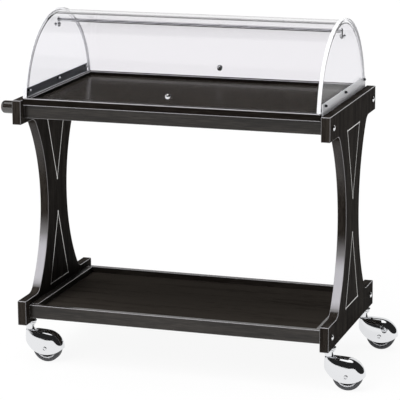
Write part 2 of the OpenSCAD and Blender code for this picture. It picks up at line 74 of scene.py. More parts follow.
# Radius of a caster's stem and axle, and the play of a bore round them
STEM_RADIUS, AXLE_RADIUS, PLAY = 0.005, 0.004, 0.00005
# Each lamp's strength, its breadth in degrees and where its light comes from
LAMPS = {"key": (1.5, 40, (-0.45, -1.0, 0.75)), "overhead": (1.9, 60, (-0.12, -0.16, 1.0))}
# What polished and clear pieces mirror: where each patch of the studio lies, the
# degrees within which it is full and beyond which it is gone, and its level; all
# else is dark
SOFTBOX = ((-0.12, -0.16, 1.0), 22, 27, 1.3)
REFLECTOR = ((-1.0, -0.25, 0.2), 30, 38, 0.9)
BACKDROP = ((0.0, 1.0, 0.35), 26, 34, 0.9)
STUDIO_DARK = 0.02
# The photograph's view, fitted to the corners and edges of the wooden pieces
CAMERA_PLACE = (1.929, -5.834, 1.944)
CAMERA_YAW, CAMERA_PITCH, CAMERA_ROLL = 18.390, 13.215, -0.397


def low_high(node):
    """The lowest and highest corner of a CAD node, as arrays."""
    low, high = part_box(node)
    return np.array(low, dtype=float), np.array(high, dtype=float)


# ---- sizes and colours -------------------------------------------------------


def length_property(name, description, millimetres):
    """A length that the sidebar shows in the scene's units."""
    return bpy.props.FloatProperty(
        name=name, description=description, default=millimetres * MM,
        min=0.0, precision=4, subtype="DISTANCE", unit="LENGTH")


def hex_property(name, description, code):
    """A colour written as an sRGB hex value."""
    return bpy.props.StringProperty(name=name, description=description, default=code)


class TrolleyWoodSettings(bpy.types.PropertyGroup):
    """Sizes and colours of the stained wooden pieces."""
    edge_round: length_property("Edge rounding", "Radius on the edges of panels and rails", 1.8)
    rim_round: length_property("Rim rounding", "Radius on the tray rim's upper edges", 3.0)
    head_height: length_property("Head height", "Straight part at a panel's top", 75)
    foot_height: length_property("Foot height", "Straight part at a panel's foot", 78)
    waist_width: length_property("Waist width", "Width left at a panel's waist", 156)
    waist_radius: length_property("Waist radius", "Radius of the curve that cuts the waist", 460)
    blend_radius: length_property("Blend radius", "Fillet between waist and head", 40)
    pore_spacing: length_property("Pore spacing", "Distance between rows of pores", 1.6)
    stain: hex_property("Stain", "Colour of the stained wood", "#25211E")
    pores: hex_property("Pores", "Colour of the dark pores", "#161310")
    light_grain: hex_property("Light grain", "Colour of the grain between pores", "#36322E")
    # Pale colours of the painted highlight on the rounded edges and on the waists' hollow edges
    painted_edge_highlight: hex_property("Rubbed edge", "Colour of the polished edges", "#7B797A")
    waist_highlight: hex_property("Worn waist", "Colour where hands have polished the waist", "#B4B2B7")


class TrolleyMetalSettings(bpy.types.PropertyGroup):
    """Sizes and colours of the metal pieces."""
    inlay_width: length_property("Inlay width", "Width of the metal inlay strip", 3.0)
    inlay_crown: length_property("Inlay crown", "Height of the inlay above the wood", 0.3)
    stud_width: length_property("Stud width", "Diameter of the inlays' corner studs", 7.0)
    chrome: hex_property("Chrome", "Colour of the chrome plate", "#E6E7E9")
    inlay: hex_property("Inlay", "Colour of the inlay metal", "#D5D4D2")
    strip: hex_property("Strip", "Colour of the aluminium strips", "#F0F0F4")
    # The dome nuts' dark colour is a painted dark reflection
    burnished: hex_property("Burnished", "Colour of the burnished dome nuts", "#4A4B50")


class TrolleyDomeSettings(bpy.types.PropertyGroup):
    """Sizes and colour of the clear pieces."""
    cover_thickness: length_property("Cover thickness", "Thickness of the curved covers", 3.0)
    groove_depth: length_property("Groove depth", "Depth of the grooves in the end plates", 5.0)
    groove_gap: length_property("Groove gap", "Gap round a cover in its groove", 0.5)
    edge_break: length_property("Edge break", "Chamfer on the polished edges", 0.5)
    acrylic: hex_property("Acrylic", "Tint of the clear covers", "#F8F7F9")
    thick_acrylic: hex_property("Thick acrylic", "Tint of the clear end plates", "#F7F7F9")


class TrolleyCasterSettings(bpy.types.PropertyGroup):
    """Sizes and colours of the casters."""
    side_radius: length_property("Side radius", "Radius of the hood's domed sides", 178)
    crown_round: length_property("Crown rounding", "Radius of the hood's rounded crown", 22)
    neck_radius: length_property("Neck radius", "Radius of the hood's neck", 15.5)
    neck_round: length_property("Neck rounding", "Radius at the top of the neck", 5)
    swelling: length_property("Swelling", "How far the hood swells between neck and disc", 1.5)
    skirt_height: length_property("Skirt height", "Lowest point of the hood's edge", 26)
    skirt_radius: length_property("Skirt radius", "Radius of the hood's curved edge", 86)
    wall: length_property("Wall", "Thickness of the hood's wall", 2.5)
    tyre_depth: length_property("Tyre depth", "Tyre thickness outside the wheel", 11)
    rubber: hex_property("Rubber", "Colour of the tyre", "#47484B")
    wheel: hex_property("Wheel rim", "Colour of the wheel's rim", "#DCDDE0")
    # The web's dark colour is painted shade in the recess under the hood
    web: hex_property("Wheel web", "Colour of the wheel's web and hub", "#29292C")


class TrolleyStageSettings(bpy.types.PropertyGroup):
    """The floor, the light and the view."""
    floor_size: length_property("Floor size", "Side of the square floor", 60000)
    floor: hex_property("Floor", "Colour of the floor", "#F4F4F4")
    plain_share: bpy.props.FloatProperty(
        name="Plain share", description="How far the floor is seen as plain white",
        default=0.92, min=0.0, max=1.0, subtype="FACTOR")
    lens: bpy.props.FloatProperty(
        name="Lens", description="Focal length on a 36 mm sensor",
        default=181.54, subtype="DISTANCE_CAMERA", unit="CAMERA")


SETTINGS = {
    "trolley_wood": TrolleyWoodSettings,
    "trolley_metal": TrolleyMetalSettings,
    "trolley_dome": TrolleyDomeSettings,
    "trolley_caster": TrolleyCasterSettings,
    "trolley_stage": TrolleyStageSettings,
}


# ---- meshes ------------------------------------------------------------------


def closed_rings(points):
    """A row of closed rings joined into quads, with a flat face on each end."""
    rows, columns = points.shape[:2]
    index = np.arange(rows * columns).reshape(rows, columns)
    here = np.hstack([index, index[:, :1]])
    quads = np.stack([here[:-1, :-1], here[1:, :-1], here[1:, 1:], here[:-1, 1:]], axis=-1)
    ends = [index[0, ::-1].tolist(), index[-1].tolist()]
    return points.reshape(-1, 3), quads.reshape(-1, 4).tolist() + ends


def arc(centre, radius, start, end, steps):
    """Points on a circle from one angle to another, in degrees."""
    angle = np.radians(np.linspace(start, end, steps))
    return np.array(centre) + radius * np.stack([np.cos(angle), np.sin(angle)], axis=-1)


def arc_with_normals(centre, radius, start, end, steps, outward=1):
    """An arc of an outline and its outward normals. outward is -1 on a hollow."""
    points = arc(centre, radius, start, end, steps)
    return points, outward * (points - np.array(centre)) / radius


def rounded_rectangle(low, high, radius, steps=5):
    """The outline of a rectangle with rounded corners, and its normals."""
    (a0, b0), (a1, b1) = low, high
    corners = [((a1 - radius, b0 + radius), 270), ((a1 - radius, b1 - radius), 0),
               ((a0 + radius, b1 - radius), 90), ((a0 + radius, b0 + radius), 180)]
    parts = [arc_with_normals(c, radius, s, s + 90, steps) for c, s in corners]
    return tuple(np.concatenate(column) for column in zip(*parts))


def slab(outline, normals, start, end, radius, order, steps=5):
    """A plate with this outline from start to end, whose edges are quarter circles:
    at an angle t the outline is drawn in by radius times one minus cos t, and lies
    radius times one minus sin t inside the face. order maps outline axes and height
    to X, Y and Z."""
    t = np.radians(np.linspace(90, 0, steps))
    inset = radius * (1 - np.cos(t))
    height = radius * (1 - np.sin(t))
    inset = np.concatenate([inset, inset[::-1]])
    level = np.concatenate([start + height, end - height[::-1]])
    ring = outline[None] - inset[:, None, None] * normals[None]
    local = np.concatenate(
        [ring, np.broadcast_to(level[:, None, None], ring.shape[:2] + (1,))], axis=-1)
    return closed_rings(local[:, :, order])


def bar_along(axis, low, high, radius):
    """A bar with rounded edges that fills a box, drawn across its long axis."""
    across = [i for i in range(3) if i != axis]
    outline, normals = rounded_rectangle(low[across], high[across], radius)
    order = [0, 0, 0]
    order[across[0]], order[across[1]], order[axis] = 0, 1, 2
    return slab(outline, normals, low[axis], high[axis], radius, order)


def turned(profile, centre, axis, steps=48):
    """A profile of (radius, distance along the axis) turned about the axis through
    centre. Each profile point becomes a circle."""
    axis = np.array(axis, dtype=float)
    side = X_AXIS if abs(axis[0]) < 0.5 else Y_AXIS
    side = side - axis * side.dot(axis)
    other = np.cross(axis, side)
    angle = np.linspace(0, TURN, steps, endpoint=False)
    ring = np.cos(angle)[:, None] * side + np.sin(angle)[:, None] * other
    radius, along = np.array(profile, dtype=float).T
    points = (np.array(centre) + along[:, None, None] * axis
              + radius[:, None, None] * ring[None])
    return closed_rings(points)


def ring_turned(profile, centre, axis, steps=48):
    """As turned, but the profile is a closed loop, so that the middle stays open."""
    vertices, faces = turned(list(profile) + [profile[0]], centre, axis, steps)
    return vertices, faces[:-2]


def rounded_steps(points, radius, steps=5):
    """A profile whose inner corners are cut by quarter-like curves: each corner is
    replaced by a parabola between points at the given distance from it."""
    points = np.array(points, dtype=float)
    before = points[:-2] - points[1:-1]
    after = points[2:] - points[1:-1]
    reach_b = np.linalg.norm(before, axis=1, keepdims=True)
    reach_a = np.linalg.norm(after, axis=1, keepdims=True)
    cut = np.minimum(radius, 0.45 * np.minimum(reach_b, reach_a))
    start = points[1:-1] + before / reach_b * cut
    end = points[1:-1] + after / reach_a * cut
    s = np.linspace(0, 1, steps)[:, None, None]
    curve = (1 - s) ** 2 * start + 2 * s * (1 - s) * points[1:-1] + s ** 2 * end
    middle = curve.transpose(1, 0, 2).reshape(-1, 2)
    return np.concatenate([points[:1], middle, points[-1:]])


def round_cap_profile(width, height, steps=9):
    """A low dome on a short straight edge: a slice of a ball above the edge."""
    edge = height * 0.35
    rise = height - edge
    ball = (width ** 2 / 4 + rise ** 2) / (2 * rise)
    spread = math.asin(min(1, width / 2 / ball))
    a = np.linspace(spread, 0.0, steps)
    dome = np.stack([ball * np.sin(a), height - ball + ball * np.cos(a)], axis=-1)
    dome[-1, 0] = TIP
    return np.concatenate([[[TIP, 0], [width / 2, 0]], dome])


def between_rows(values, at):
    """The rows of an array at places counted in rows, each the mean of the two rows
    beside it, weighted by how near they are."""
    row = np.minimum(at.astype(int), len(values) - 2)
    share = (at - row)[:, None]
    return (1 - share) * values[row] + share * values[row + 1]


def smooth_step(value, start, end):
    """0 before start and 1 after end, with a smooth change between them."""
    t = np.clip((value - start) / (end - start), 0, 1)
    return t * t * (3 - 2 * t)


def read_values(collection, name, width=1, kind=float):
    """A property of every element of a mesh, as an array of rows this wide."""
    values = np.empty(len(collection) * width, dtype=kind)
    collection.foreach_get(name, values)
    return values.reshape(-1, width) if width > 1 else values


def mark_edges(mesh, narrow=0.0016, below=EDGE_POLISH_AND_HIGHLIGHT):
    """Writes the edge attribute, which polishes rounded edges and paints a pale highlight on
    them, brighter where an edge faces up: high at vertices that touch only narrow faces, as on a
    rounded edge, and 0 where a broad face begins. A face's breadth is taken as twice its area
    over its perimeter, and narrow is the greatest that still counts as an edge. below is the
    value where an edge faces down, where the highlight is painted too."""
    ends = read_values(mesh.vertices, "co", 3)[read_values(mesh.edges, "vertices", 2, int)]
    lengths = np.linalg.norm(ends[:, 0] - ends[:, 1], axis=1)
    around = np.add.reduceat(lengths[read_values(mesh.loops, "edge_index", kind=int)],
                             read_values(mesh.polygons, "loop_start", kind=int))
    across = 2 * read_values(mesh.polygons, "area") / np.maximum(around, 1e-9)
    breadth = np.zeros(len(mesh.vertices))
    np.maximum.at(breadth, read_values(mesh.loops, "vertex_index", kind=int),
                  np.repeat(across, read_values(mesh.polygons, "loop_total", kind=int)))
    up = read_values(mesh.vertex_normals, "vector", 3)[:, 2]
    value = (EDGE_POLISH_AND_HIGHLIGHT + (UPWARD_HIGHLIGHT - EDGE_POLISH_AND_HIGHLIGHT) * smooth_step(up, 0.2, 0.6)
             + (below - EDGE_POLISH_AND_HIGHLIGHT) * smooth_step(-up, 0.1, 0.4))
    edge = value * np.clip((narrow * 1.3 - breadth) / (narrow * 0.3), 0, 1)
    layer = mesh.attributes.new("rubbed_edge", "FLOAT", "POINT")
    layer.data.foreach_set("value", edge.astype(np.float32))


def mark_waist(mesh, half):
    """Raises the edge attribute on the hollow edge faces of an end panel, between the head and
    the foot, where they lean upwards: they are polished there and a pale highlight is painted on
    them. Where they lean down they get a faint painted highlight."""
    data = mesh.attributes["rubbed_edge"].data
    value = read_values(data, "value")
    across, _, up = read_values(mesh.vertex_normals, "vector", 3).T
    hollow = np.abs(read_values(mesh.vertices, "co", 3)[:, 1]) < half - 0.004
    hollow &= np.abs(across) < 0.5
    # Up is the sine of the lean: the polish and the painted highlight start near upright and end
    # at 35 degrees
    waist_highlight = smooth_step(up, 0.08, 0.34) * (1 - smooth_step(up, 0.5, 0.66))
    below = 0.1 * smooth_step(-up, 0.1, 0.4) * (1 - smooth_step(-up, 0.5, 0.66))
    raised = np.where(hollow, np.maximum.reduce([value, waist_highlight, below]), value)
    data.foreach_set("value", raised.astype(np.float32))


def add_object(name, data):
    """An object at the origin in the scene's collection."""
    thing = bpy.data.objects.new(name, data)
    bpy.context.scene.collection.objects.link(thing)
    return thing


def add_piece(name, node, shells, look, slot, body="frame", sharp=40):
    work = bmesh.new()
    for points, faces in shells:
        shell = bpy.data.meshes.new(name)
        shell.from_pydata(points.tolist(), [], faces)
        work.from_mesh(shell)
        bpy.data.meshes.remove(shell)
    bmesh.ops.remove_doubles(work, verts=work.verts, dist=2e-6)
    bmesh.ops.dissolve_degenerate(work, edges=work.edges, dist=1e-6)
    bmesh.ops.recalc_face_normals(work, faces=work.faces)
    mesh = bpy.data.meshes.new(name)
    work.to_mesh(mesh)
    work.free()
    mesh.polygons.foreach_set("use_smooth", np.ones(len(mesh.polygons), dtype=bool))
    mesh.set_sharp_from_angle(angle=math.radians(sharp))
    mesh.materials.append(finish(look))
    # Rounded wooden edges get the painted highlight, the grips none; on the rim the edges facing
    # down get it in full, a painted reflection of the floor
    if slot == "black_wood" and "grip" not in look:
        mark_edges(mesh, below=1.0 if "rim" in look else EDGE_POLISH_AND_HIGHLIGHT)
    piece = add_object(name, mesh)
    weighted = piece.modifiers.new("Even faces", "WEIGHTED_NORMAL")
    weighted.keep_sharp = True
    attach(piece, body)
    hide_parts(node)
    return piece


def second_finish(piece, look, chosen):
    """Gives another finish to the faces that chosen picks by centre and normal."""
    faces = piece.data.polygons
    piece.data.materials.append(finish(look))
    picked = chosen(read_values(faces, "center", 3), read_values(faces, "normal", 3))
    faces.foreach_set("material_index", picked.astype(np.int32))


# ---- materials ---------------------------------------------------------------


def linear(code):
    """An sRGB hex colour as the linear values that shaders take."""
    part = np.array([int(code[i:i + 2], 16) for i in (1, 3, 5)]) / 255
    value = np.where(part <= 0.04045, part / 12.92, ((part + 0.055) / 1.055) ** 2.4)
    return (*value.tolist(), 1.0)


def add_node(tree, kind, settings=None, links=None, stops=()):
    """Adds a node. settings holds its properties and, by socket name or number, its
    values; links joins sockets, by name or number, to the outputs they read; stops
    holds the positions and sRGB hex colours of a colour ramp."""
    node = tree.nodes.new(kind)
    for key, value in (settings or {}).items():
        if isinstance(key, int) or key in node.inputs:
            node.inputs[key].default_value = value
        else:
            setattr(node, key, value)
    for key, output in (links or {}).items():
        tree.links.new(output, node.inputs[key])
    if stops:
        elements = node.color_ramp.elements
        while len(elements) < len(stops):
            elements.new(0.5)
        for element, (position, code) in zip(elements, stops):
            element.position, element.color = position, linear(code)
    return node


def new_material(name):
    """A node material and its empty tree."""
    material = bpy.data.materials.new(name)
    material.use_nodes = True
    material.node_tree.nodes.clear()
    return material, material.node_tree


# Roughness, specular level and refractive index of a flat face: panels, rims and the
# shelf are oiled and almost dull, rails lacquered, the tray's board and grips glossy
SHEEN = {"wood": (0.62, 0.01, 1.5), "rim": (0.6, 0.02, 1.5), "rail": (0.28, 0.4, 1.5),
         "shelf": (0.45, 0.0, 1.5), "tray": (0.2, 0.7, 1.5), "grip": (0.12, 0.8, 1.7)}
# Roughness of an edge that hands have polished
POLISHED_ROUGHNESS = 0.22
# Where the wood's colour turns from pores to stain and to light grain
TONE_STEPS = (0.36, 0.48, 0.62)


def stained_wood(name):
    """Beech, planed and sanded and stained black-brown: the grain runs along one axis as fine
    pores, and the stain is a little uneven. Rounded edges are polished, and a pale highlight is
    painted on them."""
    wood = bpy.context.scene.trolley_wood
    material, tree = new_material(name)
    kind, axis = name.split("_")[1::2]
    along = "xyz".index(axis)
    place = add_node(tree, "ShaderNodeTexCoord").outputs["Object"]
    # Pores are about 25 times as long as they are apart
    across = 1 / wood.pore_spacing
    stretch = [across] * 3
    stretch[along] = across / 25
    mapped = add_node(tree, "ShaderNodeMapping", {"Scale": stretch}, {"Vector": place})
    pores = add_node(tree, "ShaderNodeTexNoise", {"Scale": 1.0, "Detail": 3.0},
                     {"Vector": mapped.outputs["Vector"]}).outputs["Fac"]
    # Broad bands of the board's figure, about 30 mm apart
    band_scale = [33.0] * 3
    band_scale[along] = 2.5
    mapped = add_node(tree, "ShaderNodeMapping", {"Scale": band_scale}, {"Vector": place})
    bands = add_node(tree, "ShaderNodeTexNoise", {"Scale": 1.0, "Detail": 2.0},
                     {"Vector": mapped.outputs["Vector"]}).outputs["Fac"]
    fine = add_node(tree, "ShaderNodeMath", {"operation": "MULTIPLY", 1: 0.55}, {0: pores})
    mixed = add_node(tree, "ShaderNodeMath", {"operation": "MULTIPLY_ADD", 1: 0.45},
                     {0: bands, 2: fine.outputs[0]}).outputs[0]
    tones = (wood.pores, wood.stain, wood.light_grain)
    if kind == "rim":
        # Its tones run from the pores' colour to the stain's, without the light grain, so it is
        # darker than the panels
        tones = (wood.pores, wood.pores, wood.stain)
    elif kind in ("shelf", "tray"):
        # Plywood whose paler face takes less stain
        tones = (wood.stain, wood.light_grain, wood.light_grain)
    colour = add_node(tree, "ShaderNodeValToRGB", {}, {"Fac": mixed},
                      list(zip(TONE_STEPS, tones)))
    edge = add_node(tree, "ShaderNodeAttribute", {"attribute_name": "rubbed_edge"})
    edge = edge.outputs["Fac"]
    polish = add_node(tree, "ShaderNodeMapRange", {"From Max": EDGE_POLISH_AND_HIGHLIGHT}, {"Value": edge})
    polish = polish.outputs["Result"]
    # The pale edge colours are a painted highlight, which the edge value blends into the wood's
    # colour
    pale = add_node(tree, "ShaderNodeValToRGB", {}, {"Fac": edge},
                    [(EDGE_POLISH_AND_HIGHLIGHT, wood.painted_edge_highlight), (1.0, wood.waist_highlight)])
    painted_edge_highlight = add_node(tree, "ShaderNodeMix", {"data_type": "RGBA"}, {
        0: polish, 6: colour.outputs["Color"], 7: pale.outputs["Color"]})
    dull, shine, index = SHEEN[kind]
    roughness = add_node(tree, "ShaderNodeMapRange", {
        "To Min": dull, "To Max": POLISHED_ROUGHNESS}, {"Value": polish})
    # The polish is a coat over the edges that brings them to a specular level of 0.5
    coat = add_node(tree, "ShaderNodeMapRange", {"To Max": max(0.0, 1 - 2 * shine)},
                    {"Value": polish})
    # Pores sink about 0.04 mm into the finish
    bump = add_node(tree, "ShaderNodeBump", {"Strength": 0.25, "Distance": 0.00004},
                    {"Height": pores})
    shader = add_node(tree, "ShaderNodeBsdfPrincipled", {
        "IOR": index, "Specular IOR Level": shine, "Coat Roughness": POLISHED_ROUGHNESS}, {
        "Base Color": painted_edge_highlight.outputs[2], "Roughness": roughness.outputs["Result"],
        "Coat Weight": coat.outputs["Result"], "Normal": bump.outputs["Normal"]})
    add_node(tree, "ShaderNodeOutputMaterial", {}, {"Surface": shader.outputs["BSDF"]})
    return material


def metal(name, code, roughness, grain_mm, strength, stretch=(1, 1, 1), bare=1.0):
    """A metal whose surface is marked at grain_mm: plated and polished where the
    marks are faint and round, brushed or drawn where they are stretched. bare is
    under 1 where a pale anodised skin covers it."""
    material, tree = new_material(name)
    place = add_node(tree, "ShaderNodeTexCoord").outputs["Object"]
    scale = [s / (grain_mm * MM) for s in stretch]
    mapped = add_node(tree, "ShaderNodeMapping", {"Scale": scale}, {"Vector": place})
    marks = add_node(tree, "ShaderNodeTexNoise", {"Scale": 1.0, "Detail": 2.0},
                     {"Vector": mapped.outputs["Vector"]}).outputs["Fac"]
    rough = add_node(tree, "ShaderNodeMapRange", {
        "To Min": roughness * 0.7, "To Max": roughness * 1.3}, {"Value": marks})
    bump = add_node(tree, "ShaderNodeBump", {
        "Strength": strength, "Distance": 0.00002}, {"Height": marks})
    shader = add_node(tree, "ShaderNodeBsdfPrincipled", {
        "Base Color": linear(code), "Metallic": bare},
        {"Roughness": rough.outputs["Result"], "Normal": bump.outputs["Normal"]})
    add_node(tree, "ShaderNodeOutputMaterial", {}, {"Surface": shader.outputs["BSDF"]})
    return material


def clear_acrylic(name, index, code):
    """Cast acrylic sheet: clear, with the faintest unevenness of a drape-formed
    sheet. Light from lamps passes it, as it does the real sheet."""
    material, tree = new_material(name)
    place = add_node(tree, "ShaderNodeTexCoord").outputs["Object"]
    # Waves of a formed sheet, about 60 mm long
    waves = add_node(tree, "ShaderNodeTexNoise", {"Scale": 16.0, "Detail": 1.0},
                     {"Vector": place})
    bump = add_node(tree, "ShaderNodeBump", {"Strength": 0.03, "Distance": 0.0002},
                    {"Height": waves.outputs["Fac"]})
    glass = add_node(tree, "ShaderNodeBsdfPrincipled", {
        "Base Color": linear(code), "IOR": index, "Roughness": 0.0,
        "Transmission Weight": 1.0}, {"Normal": bump.outputs["Normal"]})
    passing = add_node(tree, "ShaderNodeBsdfTransparent", {"Color": linear("#F6F7F7")})
    path = add_node(tree, "ShaderNodeLightPath")
    mix = add_node(tree, "ShaderNodeMixShader", {}, {
        0: path.outputs["Is Shadow Ray"], 1: glass.outputs["BSDF"],
        2: passing.outputs["BSDF"]})
    add_node(tree, "ShaderNodeOutputMaterial", {}, {"Surface": mix.outputs["Shader"]})
    return material


def sawn_acrylic(name):
    """The rim of the thick acrylic end plates, sawn and sanded: white and frosted,
    with fine marks from the saw, so that it glows where the light enters."""
    material, tree = new_material(name)
    place = add_node(tree, "ShaderNodeTexCoord").outputs["Object"]
    marks = add_node(tree, "ShaderNodeTexNoise", {"Scale": 900.0, "Detail": 2.0},
                     {"Vector": place}).outputs["Fac"]
    bump = add_node(tree, "ShaderNodeBump", {"Strength": 0.2, "Distance": 0.00005},
                    {"Height": marks})
    colour = add_node(tree, "ShaderNodeValToRGB", {}, {"Fac": marks},
                      [(0.3, "#F2F2F4"), (0.7, "#F8F8FA")])
    shader = add_node(tree, "ShaderNodeBsdfPrincipled", {
        "IOR": 1.49, "Roughness": 0.35, "Transmission Weight": 0.1},
        {"Base Color": colour.outputs["Color"], "Normal": bump.outputs["Normal"]})
    add_node(tree, "ShaderNodeOutputMaterial", {}, {"Surface": shader.outputs["BSDF"]})
    return material


def moulded(name, code, roughness, grain_mm, strength):
    """Moulded plastic or rubber: one colour, slightly mottled, with a fine grain
    from the mould."""
    material, tree = new_material(name)
    place = add_node(tree, "ShaderNodeTexCoord").outputs["Object"]
    grain = add_node(tree, "ShaderNodeTexNoise", {
        "Scale": 1 / (grain_mm * MM), "Detail": 2.0}, {"Vector": place}).outputs["Fac"]
    base = np.array(linear(code)[:3])
    mottle = add_node(tree, "ShaderNodeMix", {
        "data_type": "RGBA", 6: (*(base * 0.88).tolist(), 1),
        7: (*(base * 1.12).tolist(), 1)}, {0: grain})
    bump = add_node(tree, "ShaderNodeBump", {
        "Strength": strength, "Distance": 0.0001}, {"Height": grain})
    shader = add_node(tree, "ShaderNodeBsdfPrincipled", {
        "Roughness": roughness, "IOR": 1.5},
        {"Base Color": mottle.outputs[2], "Normal": bump.outputs["Normal"]})
    add_node(tree, "ShaderNodeOutputMaterial", {}, {"Surface": shader.outputs["BSDF"]})
    return material


def finish(name):
    """The named finish, made once and then shared by its pieces."""
    if name in bpy.data.materials:
        return bpy.data.materials[name]
    metals = bpy.context.scene.trolley_metal
    caster = bpy.context.scene.trolley_caster
    dome = bpy.context.scene.trolley_dome
    if name.startswith("stained_"):
        return stained_wood(name)
    # How each is made: for metals and mouldings the colour, roughness, grain in mm and
    # its strength, and for clear sheet the refractive index and the tint
    make, *values = {
        # Polished steel or zinc under chrome plate: a clear mirror, faintly wavy
        "chrome_plate": (metal, metals.chrome, 0.05, 9.0, 0.05),
        # Steel dome nuts, dark as a painted dark reflection, with a soft shine
        "burnished_steel": (metal, metals.burnished, 0.16, 2.0, 0.1),
        # Drawn nickel-silver strip, pressed into a groove and sanded flush
        "inlay_strip": (metal, metals.inlay, 0.3, 0.8, 0.3),
        # Extruded flat bar, brushed along its length and anodised
        "satin_aluminium": (metal, metals.strip, 0.42, 0.5, 0.3, (1, 0.03, 1), 0.2),
        # Sheet of 3 mm, bent hot over a form
        "cast_acrylic": (clear_acrylic, 1.3, dome.acrylic),
        # Sheet of 12 mm, sawn: its low index keeps it as quiet as the real plates
        "thick_acrylic": (clear_acrylic, 1.08, dome.thick_acrylic),
        # The sawn rim of the same sheet
        "sawn_acrylic": (sawn_acrylic,),
        # Moulded polyamide wheel, light grey and matt on its rim
        "wheel_plastic": (moulded, caster.wheel, 0.45, 1.2, 0.15),
        # The same moulding inside its rim, coloured dark as painted shade in the recess under the
        # hood
        "web_plastic": (moulded, caster.web, 0.6, 1.2, 0.15),
        # Moulded thermoplastic rubber, dark grey, matt where it rolls
        "tyre_rubber": (moulded, caster.rubber, 0.55, 0.8, 0.3),
    }[name]
    return make(name, *values)


# ---- wooden pieces -----------------------------------------------------------


def panel_outline(half, bottom, top):
    """A panel's outline in Y and Z: straight head and foot, joined by a hollow arc
    that meets them in fillets. The fillet's centre lies at waist radius minus blend
    radius from the arc's centre, which makes the two curves tangent."""
    wood = bpy.context.scene.trolley_wood
    head = top - wood.head_height
    foot = bottom + wood.foot_height
    middle = (head + foot) / 2
    corner = wood.edge_round * 1.3
    arc_y = wood.waist_width / 2 + wood.waist_radius
    reach = wood.waist_radius - wood.blend_radius
    rise = (head - foot) / 2 - wood.blend_radius
    run = math.sqrt(reach ** 2 - rise ** 2)
    tilt = math.degrees(math.atan2(rise, run))
    parts = [
        arc_with_normals((half - corner, bottom + corner), corner, -90, 0, 5),
        arc_with_normals((half - corner, foot - corner), corner, 0, 90, 5),
        arc_with_normals((arc_y - run, foot + wood.blend_radius), wood.blend_radius,
                         270, 180 + tilt, 12, -1),
        arc_with_normals((arc_y, middle), wood.waist_radius, 180 + tilt, 180 - tilt, 60, -1),
        arc_with_normals((arc_y - run, head - wood.blend_radius), wood.blend_radius,
                         180 - tilt, 90, 12, -1),
        arc_with_normals((half - corner, head + corner), corner, -90, 0, 5),
        arc_with_normals((half - corner, top - corner), corner, 0, 90, 5),
    ]
    points, normals = (np.concatenate(column) for column in zip(*parts))
    mirror = np.array([-1, 1])
    return (np.concatenate([points, points[::-1] * mirror]),
            np.concatenate([normals, normals[::-1] * mirror]))


class TROLLEY_OT_end_panels(bpy.types.Operator):
    """Add the two waisted end panels"""
    bl_idname = "trolley.end_panels"
    bl_label = "End panels"

    def execute(self, context):
        radius = context.scene.trolley_wood.edge_round
        for node in ("left_end_panel", "right_end_panel"):
            low, high = low_high(node)
            outline, normals = panel_outline(high[1], low[2], high[2])
            shell = slab(outline, normals, low[0], high[0], radius, [2, 0, 1])
            panel = add_piece(node + "_wood", node, [shell], "stained_wood_along_z",
                              "black_wood")
            mark_waist(panel.data, high[1])
        return {"FINISHED"}


def inlay_line(start, end, face, side):
    """A metal strip from start to end in the plane X = face: its section is a low
    crown, a parabola across the strip's width that stands out on one side."""
    metals = bpy.context.scene.trolley_metal
    start, end = np.array(start), np.array(end)
    along = (end - start) / np.linalg.norm(end - start)
    across = np.array([-along[1], along[0]])
    u = np.linspace(-1, 1, 7)
    height = np.concatenate([metals.inlay_crown * (1 - 0.8 * u ** 2), [-INLAY_SINK, -INLAY_SINK]])
    offset = np.concatenate([u, [1, -1]]) * metals.inlay_width / 2
    ends = np.stack([start, end])
    plane = ends[:, None] + offset[None, :, None] * across
    depth = np.broadcast_to(face + side * height, plane.shape[:2])
    return closed_rings(np.concatenate([depth[..., None], plane], axis=-1))


class TROLLEY_OT_inlays(bpy.types.Operator):
    """Add the metal inlay triangles and their studs"""
    bl_idname = "trolley.inlays"
    bl_label = "Inlays"

    def execute(self, context):
        metals = context.scene.trolley_metal
        wood = context.scene.trolley_wood
        # The triangles keep 3 mm clear of the head and the foot
        clear, height = 0.003, 0.222
        cap = round_cap_profile(metals.stud_width, 2.2 * metals.inlay_crown)
        cap[:2, 1] = -INLAY_SINK
        for name in ("left", "right"):
            low, high = low_high(name + "_end_panel")
            half = low_high(name + "_panel_inlays")[1][1] - metals.stud_width / 2
            head = high[2] - wood.head_height - clear
            foot = low[2] + wood.foot_height + clear
            shells = []
            for face, side in ((low[0], -1), (high[0], 1)):
                for base, apex in ((head, head - height), (foot, foot + height)):
                    corners = [(-half, base), (half, base), (0.0, apex)]
                    shells += [inlay_line(start, end, face, side)
                               for start, end in zip(corners, corners[1:] + corners[:1])]
                    shells += [turned(cap, (face, *c), side * X_AXIS, 24) for c in corners]
            add_piece(name + "_inlay_metal", name + "_panel_inlays", shells, "inlay_strip",
                      "inlay_metal")
        return {"FINISHED"}


class TROLLEY_OT_rails(bpy.types.Operator):
    """Add the long and short rails"""
    bl_idname = "trolley.rails"
    bl_label = "Rails"

    def execute(self, context):
        radius = context.scene.trolley_wood.edge_round
        rails = [("upper_front_rail", 0), ("upper_back_rail", 0), ("lower_front_rail", 0),
                 ("lower_back_rail", 0), ("lower_left_rail", 1), ("lower_right_rail", 1)]
        for node, axis in rails:
            add_piece(node + "_wood", node, [bar_along(axis, *low_high(node), radius)],
                      "stained_rail_along_" + "xyz"[axis], "black_wood")
        return {"FINISHED"}


